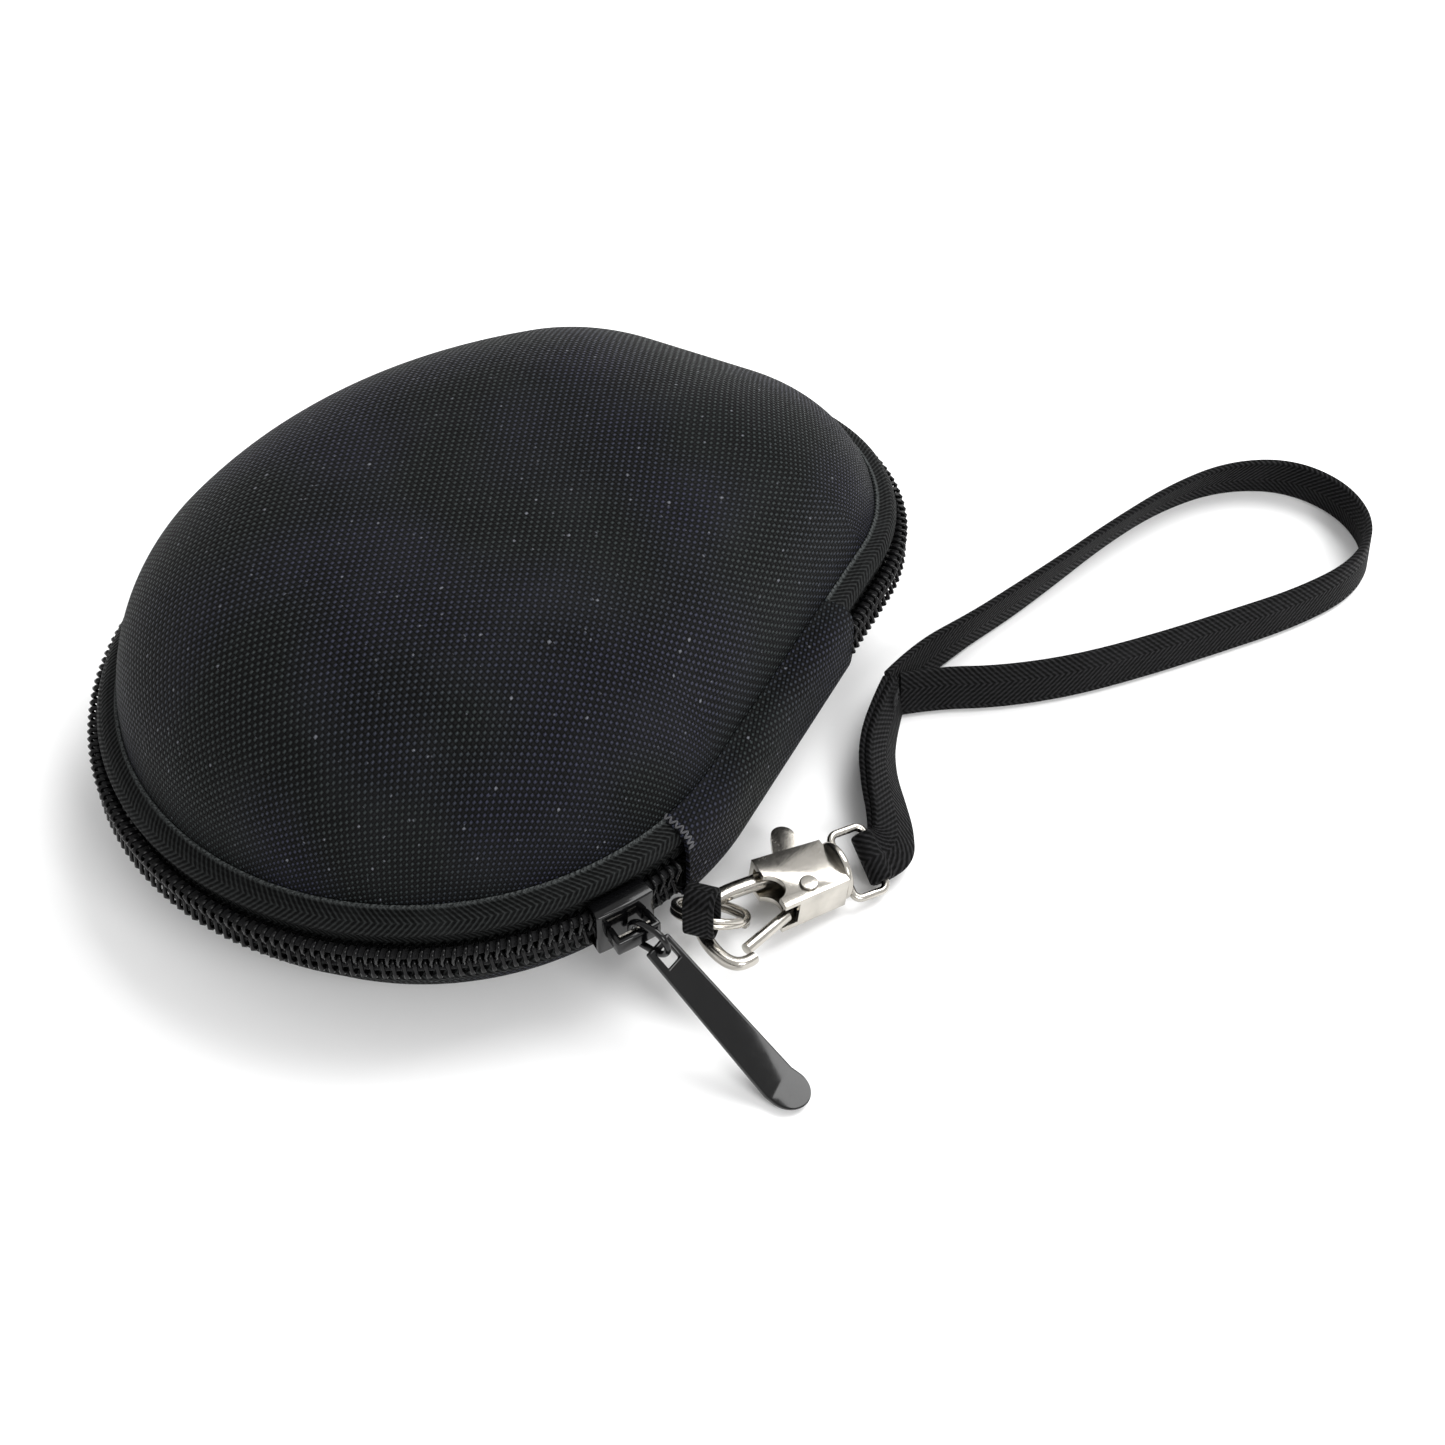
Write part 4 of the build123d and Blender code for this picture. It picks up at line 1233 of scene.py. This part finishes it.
class CASE_OT_hinge_cloth(Operator):
    """Woven strip over the ends of the zip, which is the case's hinge, and its inner cloth"""

    bl_idname = "case.hinge_cloth"
    bl_label = "Hinge Cloth"

    # inset and height above the split: the cloth from its upper edge down, and the seam along it
    PROFILE = [
        (5.60, 6.20), (5.38, 7.00), (5.10, 7.42), (4.75, 7.40), (4.45, 7.12), (3.90, 7.10),
        (3.10, 7.08), (2.30, 6.95), (1.50, 6.60), (0.90, 6.00), (0.50, 5.20), (0.28, 4.20),
        (0.16, 3.00), (0.12, 1.50),
    ]
    SEAM = [
        (5.30, 7.50), (4.45, 7.30), (3.30, 7.28), (2.20, 7.08), (1.30, 6.62), (0.72, 6.00),
        (0.34, 5.10), (0.14, 4.00),
    ]

    def execute(self, context):
        case, hinge = sizes(), context.scene.case_hinge
        total, columns = outline_total(), 44
        spots = outline_spots(columns, hinge.front / total, hinge.rear / total)
        profile = [(inset * MM, -height * MM) for inset, height in self.PROFILE]
        profile.append((0.12 * MM, 0.0))
        profile.extend((inset * MM, height * MM) for inset, height in reversed(self.PROFILE))
        rows, flat = profile_rows(profile, spots, total)
        turned = [[(across, along) for along, across in row] for row in flat]
        strip = laid_grid("hinge_strip_cloth", rows, turned)
        thickened(strip, Vector((1, 0, 0)), 0.7 * MM, 50)
        hand_over(strip, None, "woven_cover", cover_cloth(), "hinge_strip")
        split = case.split_height
        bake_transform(strip)
        self.edge_stitches(hinge, total, split)
        inner = rounded_copy("hinge_lining_cloth", "hinge_lining", 0.1 * MM, 2)
        hand_over(inner, None, "lining", inner_knit(), "hinge_lining")
        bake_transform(inner)
        return {"FINISHED"}

    def edge_stitches(self, hinge, total, split):
        """Zigzag of thread over the front edge of the hinge cloth, above and below the split."""
        edge, swing, thread_radius = 0.55 * MM, 0.6 * MM, 0.17 * MM
        fine = [
            ((a[0] + (b[0] - a[0]) * half) * MM, (a[1] + (b[1] - a[1]) * half) * MM)
            for a, b in zip(self.SEAM, self.SEAM[1:]) for half in (0.0, 0.5)
        ]
        places = []
        for side in (1, -1):
            for index, low in enumerate(fine):
                high = fine[min(index + 1, len(fine) - 1)]
                points = []
                for end, part in ((-1, 0.0), (1, 0.9)):
                    spot = (hinge.front + edge + swing * end * (1 if index % 2 else -1)) / total
                    inset = low[0] + (high[0] - low[0]) * part
                    rise = low[1] + (high[1] - low[1]) * part
                    points.extend(ring_at([spot], inset, split + side * rise))
                along = points[1] - points[0]
                heading = along.normalized()
                out = heading.cross(Vector((0, 1, 0))).normalized()
                places.append(
                    set_at((points[0] + points[1]) / 2, (heading, out, heading.cross(out)))
                    @ Matrix.Diagonal((along.length * 0.56, thread_radius, thread_radius, 1))
                )
        zigzag = stitched("hinge_edge_stitching", places)
        thread = made("edge_thread", knit_finish, brighter(THREAD, 6), 4000.0)
        hand_over(zigzag, None, "thread", thread)
        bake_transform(zigzag)


# ---- slider, pull, ring, clasp -----------------------------------------------------------------


class CASE_OT_slider(Operator):
    """Slider body, crown and the spring leaf under it"""

    bl_idname = "case.slider"
    bl_label = "Slider"

    def execute(self, context):
        body = rounded_copy("slider_plates", "slider_body", 0.35 * MM, 3)
        hand_over(body, "slider", "black_metal", enamel(), "slider_body")
        crown = rounded_copy("slider_bridge", "slider_crown", 0.38 * MM, 3)
        hand_over(crown, "slider", "black_metal", enamel(), "slider_crown")
        dress(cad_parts["lock_leaf"], nickel_plate())
        return {"FINISHED"}


class CASE_OT_pull(Operator):
    """Oval link and the long tapered pull that hangs from it"""

    bl_idname = "case.pull"
    bl_label = "Pull"

    def execute(self, context):
        link = rounded_copy("pull_link", "link_ring", 0.02 * MM, 1, 60.0)
        hand_over(link, "link", "black_metal", enamel(), "link_ring")
        pull = rounded_copy("pull_blade", "zip_pull", 0.30 * MM, 3)
        hand_over(pull, "pull", "black_metal", enamel(), "zip_pull")
        return {"FINISHED"}


class CASE_OT_split_ring(Operator):
    """Split ring of two turns of flat wire, and the webbing tab that holds it"""

    bl_idname = "case.split_ring"
    bl_label = "Split Ring And Tab"

    def execute(self, context):
        clasp = context.scene.case_clasp
        centre, axis, across, _ = clasp_frame()
        slope, heading = clasp.ring_slope, clasp.ring_heading
        down = Vector((cos(heading) * cos(slope), sin(heading) * cos(slope), -sin(slope)))
        normal = Vector((cos(heading) * sin(slope), sin(heading) * sin(slope), cos(slope)))
        side = normal.cross(down)
        hook_seat = centre + axis * HOOK_SEAT + across * 0.7 * MM
        middle = hook_seat - down * clasp.ring_seat
        wire = bar_section(1.05 * MM, 0.82 * MM, 0.3 * MM, 3)
        first, last, steps = radians(-100), radians(606), 150
        stations = []
        for angle in angles(first, last, steps):
            share = (angle - first) / (last - first)
            spoke = down * cos(angle) + side * sin(angle)
            lift = 0.44 * MM * max(-1.0, min(1.0, (share - 0.5) * 14))
            stations.append((
                middle + spoke * clasp.ring_radius + normal * lift, spoke, normal, 1.0, 1.0
            ))
        ring = swept("split_ring_wire", stations, wire, smooth=45)
        hand_over(ring, "ring", "nickel", nickel_plate(), "split_ring")
        wire_along = Vector((sin(heading), -cos(heading), 0))
        hold = middle - down * clasp.ring_radius
        tab = self.tab(clasp, hold, wire_along)
        hand_over(tab, "base", "webbing", webbing_cloth(), "ring_tab")
        return {"FINISHED"}

    @staticmethod
    def tab(clasp, hold, wire_along):
        """Narrow webbing, down from the hinge cloth, round the ring's wire and back up."""
        _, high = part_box("ring_tab")
        cloth = clasp.tab_cloth
        bow = clasp.tab_hollow + cloth / 2
        face = wire_along.cross(UP).normalized()
        rise = high.z - bow - hold.z
        side = [(bow, rise * step / 6) for step in range(1, 6)]
        side += [
            (bow * cos(angle), rise + bow * sin(angle) * 0.9)
            for angle in angles(0.0, pi / 2, 8)
        ]
        fold = [(bow * cos(angle), bow * sin(angle)) for angle in angles(0.0, -pi, 16)]
        path = side[::-1] + fold + [(-x, z) for x, z in side]
        line = [hold + face * x + UP * z for x, z in path]
        stations = [
            (point, direction.cross(wire_along).normalized(), wire_along, 1.0, 1.0)
            for point, direction in zip(line, directions(line))
        ]
        section = bar_section(cloth, clasp.tab_width, cloth * SELVEDGE, 3)
        return swept("ring_tab_webbing", stations, section, smooth=50)


class CASE_OT_clasp(Operator):
    """Trigger clasp: flat hook, folded housing, gate with its thumb lug, collar and bail"""

    bl_idname = "case.clasp"
    bl_label = "Trigger Clasp"

    def execute(self, context):
        plate = nickel_plate()
        hand_over(self.hook(), "clasp", "nickel", plate, "clasp_hook")
        for name, node, bevel, body in (
            ("housing_plates", "clasp_housing", 0.28, "clasp"),
            ("swivel_collar", "collar", 0.4, "clasp"),
            ("gate_rivet_head", "gate_rivet", 0.18, "clasp"),
            ("thumb_gate", "gate_lever", 0.22, "gate"),
        ):
            piece = rounded_copy(name, node, bevel * MM, 3)
            hand_over(piece, body, "nickel", plate, node)
        hand_over(self.bail(), "swivel", "nickel", plate, "strap_bail")
        for node in ("swivel_post", "gate_spring"):
            dress(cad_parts[node], plate)
        return {"FINISHED"}

    @staticmethod
    def hook():
        """C-shaped hook that tapers from the housing to its seat for the gate."""
        centre, axis, across, up = clasp_frame()
        path = [
            (-2.6, 2.9), (-7.5, 3.1), (-12.2, 2.9), (-15.8, 1.2), (-17.6, -2.2), (-17.6, -6.2),
            (-16.6, -9.0), (-14.6, -9.9), (-12.9, -9.4),
        ]
        line = smooth_line([centre + axis * (u * MM) + across * (v * MM) for u, v in path], 8)
        heads = directions(line)
        stations = []
        for index, (point, heading) in enumerate(zip(line, heads)):
            share = index / (len(line) - 1)
            wide, tall = 2.6 - 0.9 * share, 2.1 - 0.3 * share
            stations.append((point, heading.cross(up).normalized(), up, wide, tall))
        return swept("clasp_hook_wire", stations, bar_section(MM, MM, 0.4 * MM, 4), smooth=45)

    @staticmethod
    def bail():
        """Wire frame that carries the strap, bent from one rod with round corners."""
        centre, axis, _, _ = clasp_frame()
        along, normal, bar = bail_frame()
        near = centre + axis * BAIL_NEAR
        reach = (bar - near).dot(axis)
        half, corner, wire = 5.2 * MM, 1.3 * MM, 1.2 * MM
        path = []
        for x, y, start in (
            (reach - corner, half - corner, 0), (corner, half - corner, 90),
            (corner, corner - half, 180), (reach - corner, corner - half, 270),
        ):
            for angle in angles(radians(start), radians(start + 90), 6):
                path.append(near + axis * (x + corner * cos(angle))
                            + along * (y + corner * sin(angle)))
        stations = []
        for index, point in enumerate(path):
            heading = (path[(index + 1) % len(path)] - path[index - 1]).normalized()
            stations.append((point, heading.cross(normal).normalized(), normal, 1.0, 1.0))
        return swept("bail_wire", stations, bar_section(wire, wire, 0.5 * MM, 3), True, 45)


class CASE_OT_stage(Operator):
    """Pale floor, broad soft lights and an even studio sky"""

    bl_idname = "case.stage"
    bl_label = "Stage"

    def execute(self, context):
        bpy.ops.object.select_all(action="DESELECT")
        bpy.ops.mesh.primitive_plane_add(size=40.0, location=(0, 0, 0))
        floor = context.object
        floor.name = floor.data.name = "studio_floor"
        floor.data.materials.append(floor_finish())
        world = bpy.data.worlds.new("studio")
        context.scene.world = world
        world.use_nodes = True
        sky = world.node_tree.nodes["Background"]
        sky.inputs["Color"].default_value = (1.0, 1.0, 1.0, 1.0)
        sky.inputs["Strength"].default_value = 0.8
        for name, spot, aim, size, power in (
            ("ceiling_panel", (0.30, 0.62, 0.95), (0.02, 0.03, 0.0), 0.8, 13.0),
            ("front_panel", (0.75, -0.35, 0.60), (0.05, 0.0, 0.0), 0.35, 4.5),
        ):
            panel = bpy.data.lights.new(name, "AREA")
            panel.shape = "SQUARE"
            panel.size = size
            panel.energy = power
            holder = bpy.data.objects.new(name, panel)
            holder.location = spot
            aim_at = Vector(aim) - Vector(spot)
            holder.rotation_euler = aim_at.to_track_quat("-Z", "Y").to_euler()
            context.scene.collection.objects.link(holder)
        return {"FINISHED"}


STEPS = (
    CASE_OT_view, CASE_OT_wrist_strap, CASE_OT_dome_cover, CASE_OT_tray, CASE_OT_zip_tapes,
    CASE_OT_zip_coils, CASE_OT_hinge_cloth, CASE_OT_slider, CASE_OT_pull, CASE_OT_split_ring,
    CASE_OT_clasp, CASE_OT_stage,
)


class CASE_PT_pieces(Panel):
    """A button for each step, and a field for every size and colour"""

    bl_idname = "CASE_PT_pieces"
    bl_label = "Carrying Case"
    bl_space_type = "VIEW_3D"
    bl_region_type = "UI"
    bl_category = "Case"

    def draw(self, context):
        for step in STEPS:
            self.layout.operator(step.bl_idname)
        for group in GROUPS:
            box = self.layout.box()
            for key in GROUPS[group].__annotations__:
                box.prop(getattr(context.scene, group), key)


GROUPS = {
    "case_sizes": CaseSizes, "case_zip": ZipSizes, "case_hinge": HingeSizes,
    "case_strap": StrapSizes, "case_clasp": ClaspSizes, "case_finishes": Finishes,
}


def register():
    """Adds the sizes, the operators and the panel."""
    for group, kind in GROUPS.items():
        bpy.utils.register_class(kind)
        setattr(bpy.types.Scene, group, PointerProperty(type=kind))
    for kind in (*STEPS, CASE_PT_pieces):
        bpy.utils.register_class(kind)


def unregister():
    """Takes away what register added."""
    for kind in reversed((*STEPS, CASE_PT_pieces)):
        bpy.utils.unregister_class(kind)
    for group, kind in GROUPS.items():
        delattr(bpy.types.Scene, group)
        bpy.utils.unregister_class(kind)


def main():
    """Registers the sizes, operators and panel, then builds every piece in turn."""
    register()
    for step in STEPS:
        family, name = step.bl_idname.split(".")
        getattr(getattr(bpy.ops, family), name)()


if __name__ == "__main__":
    main()
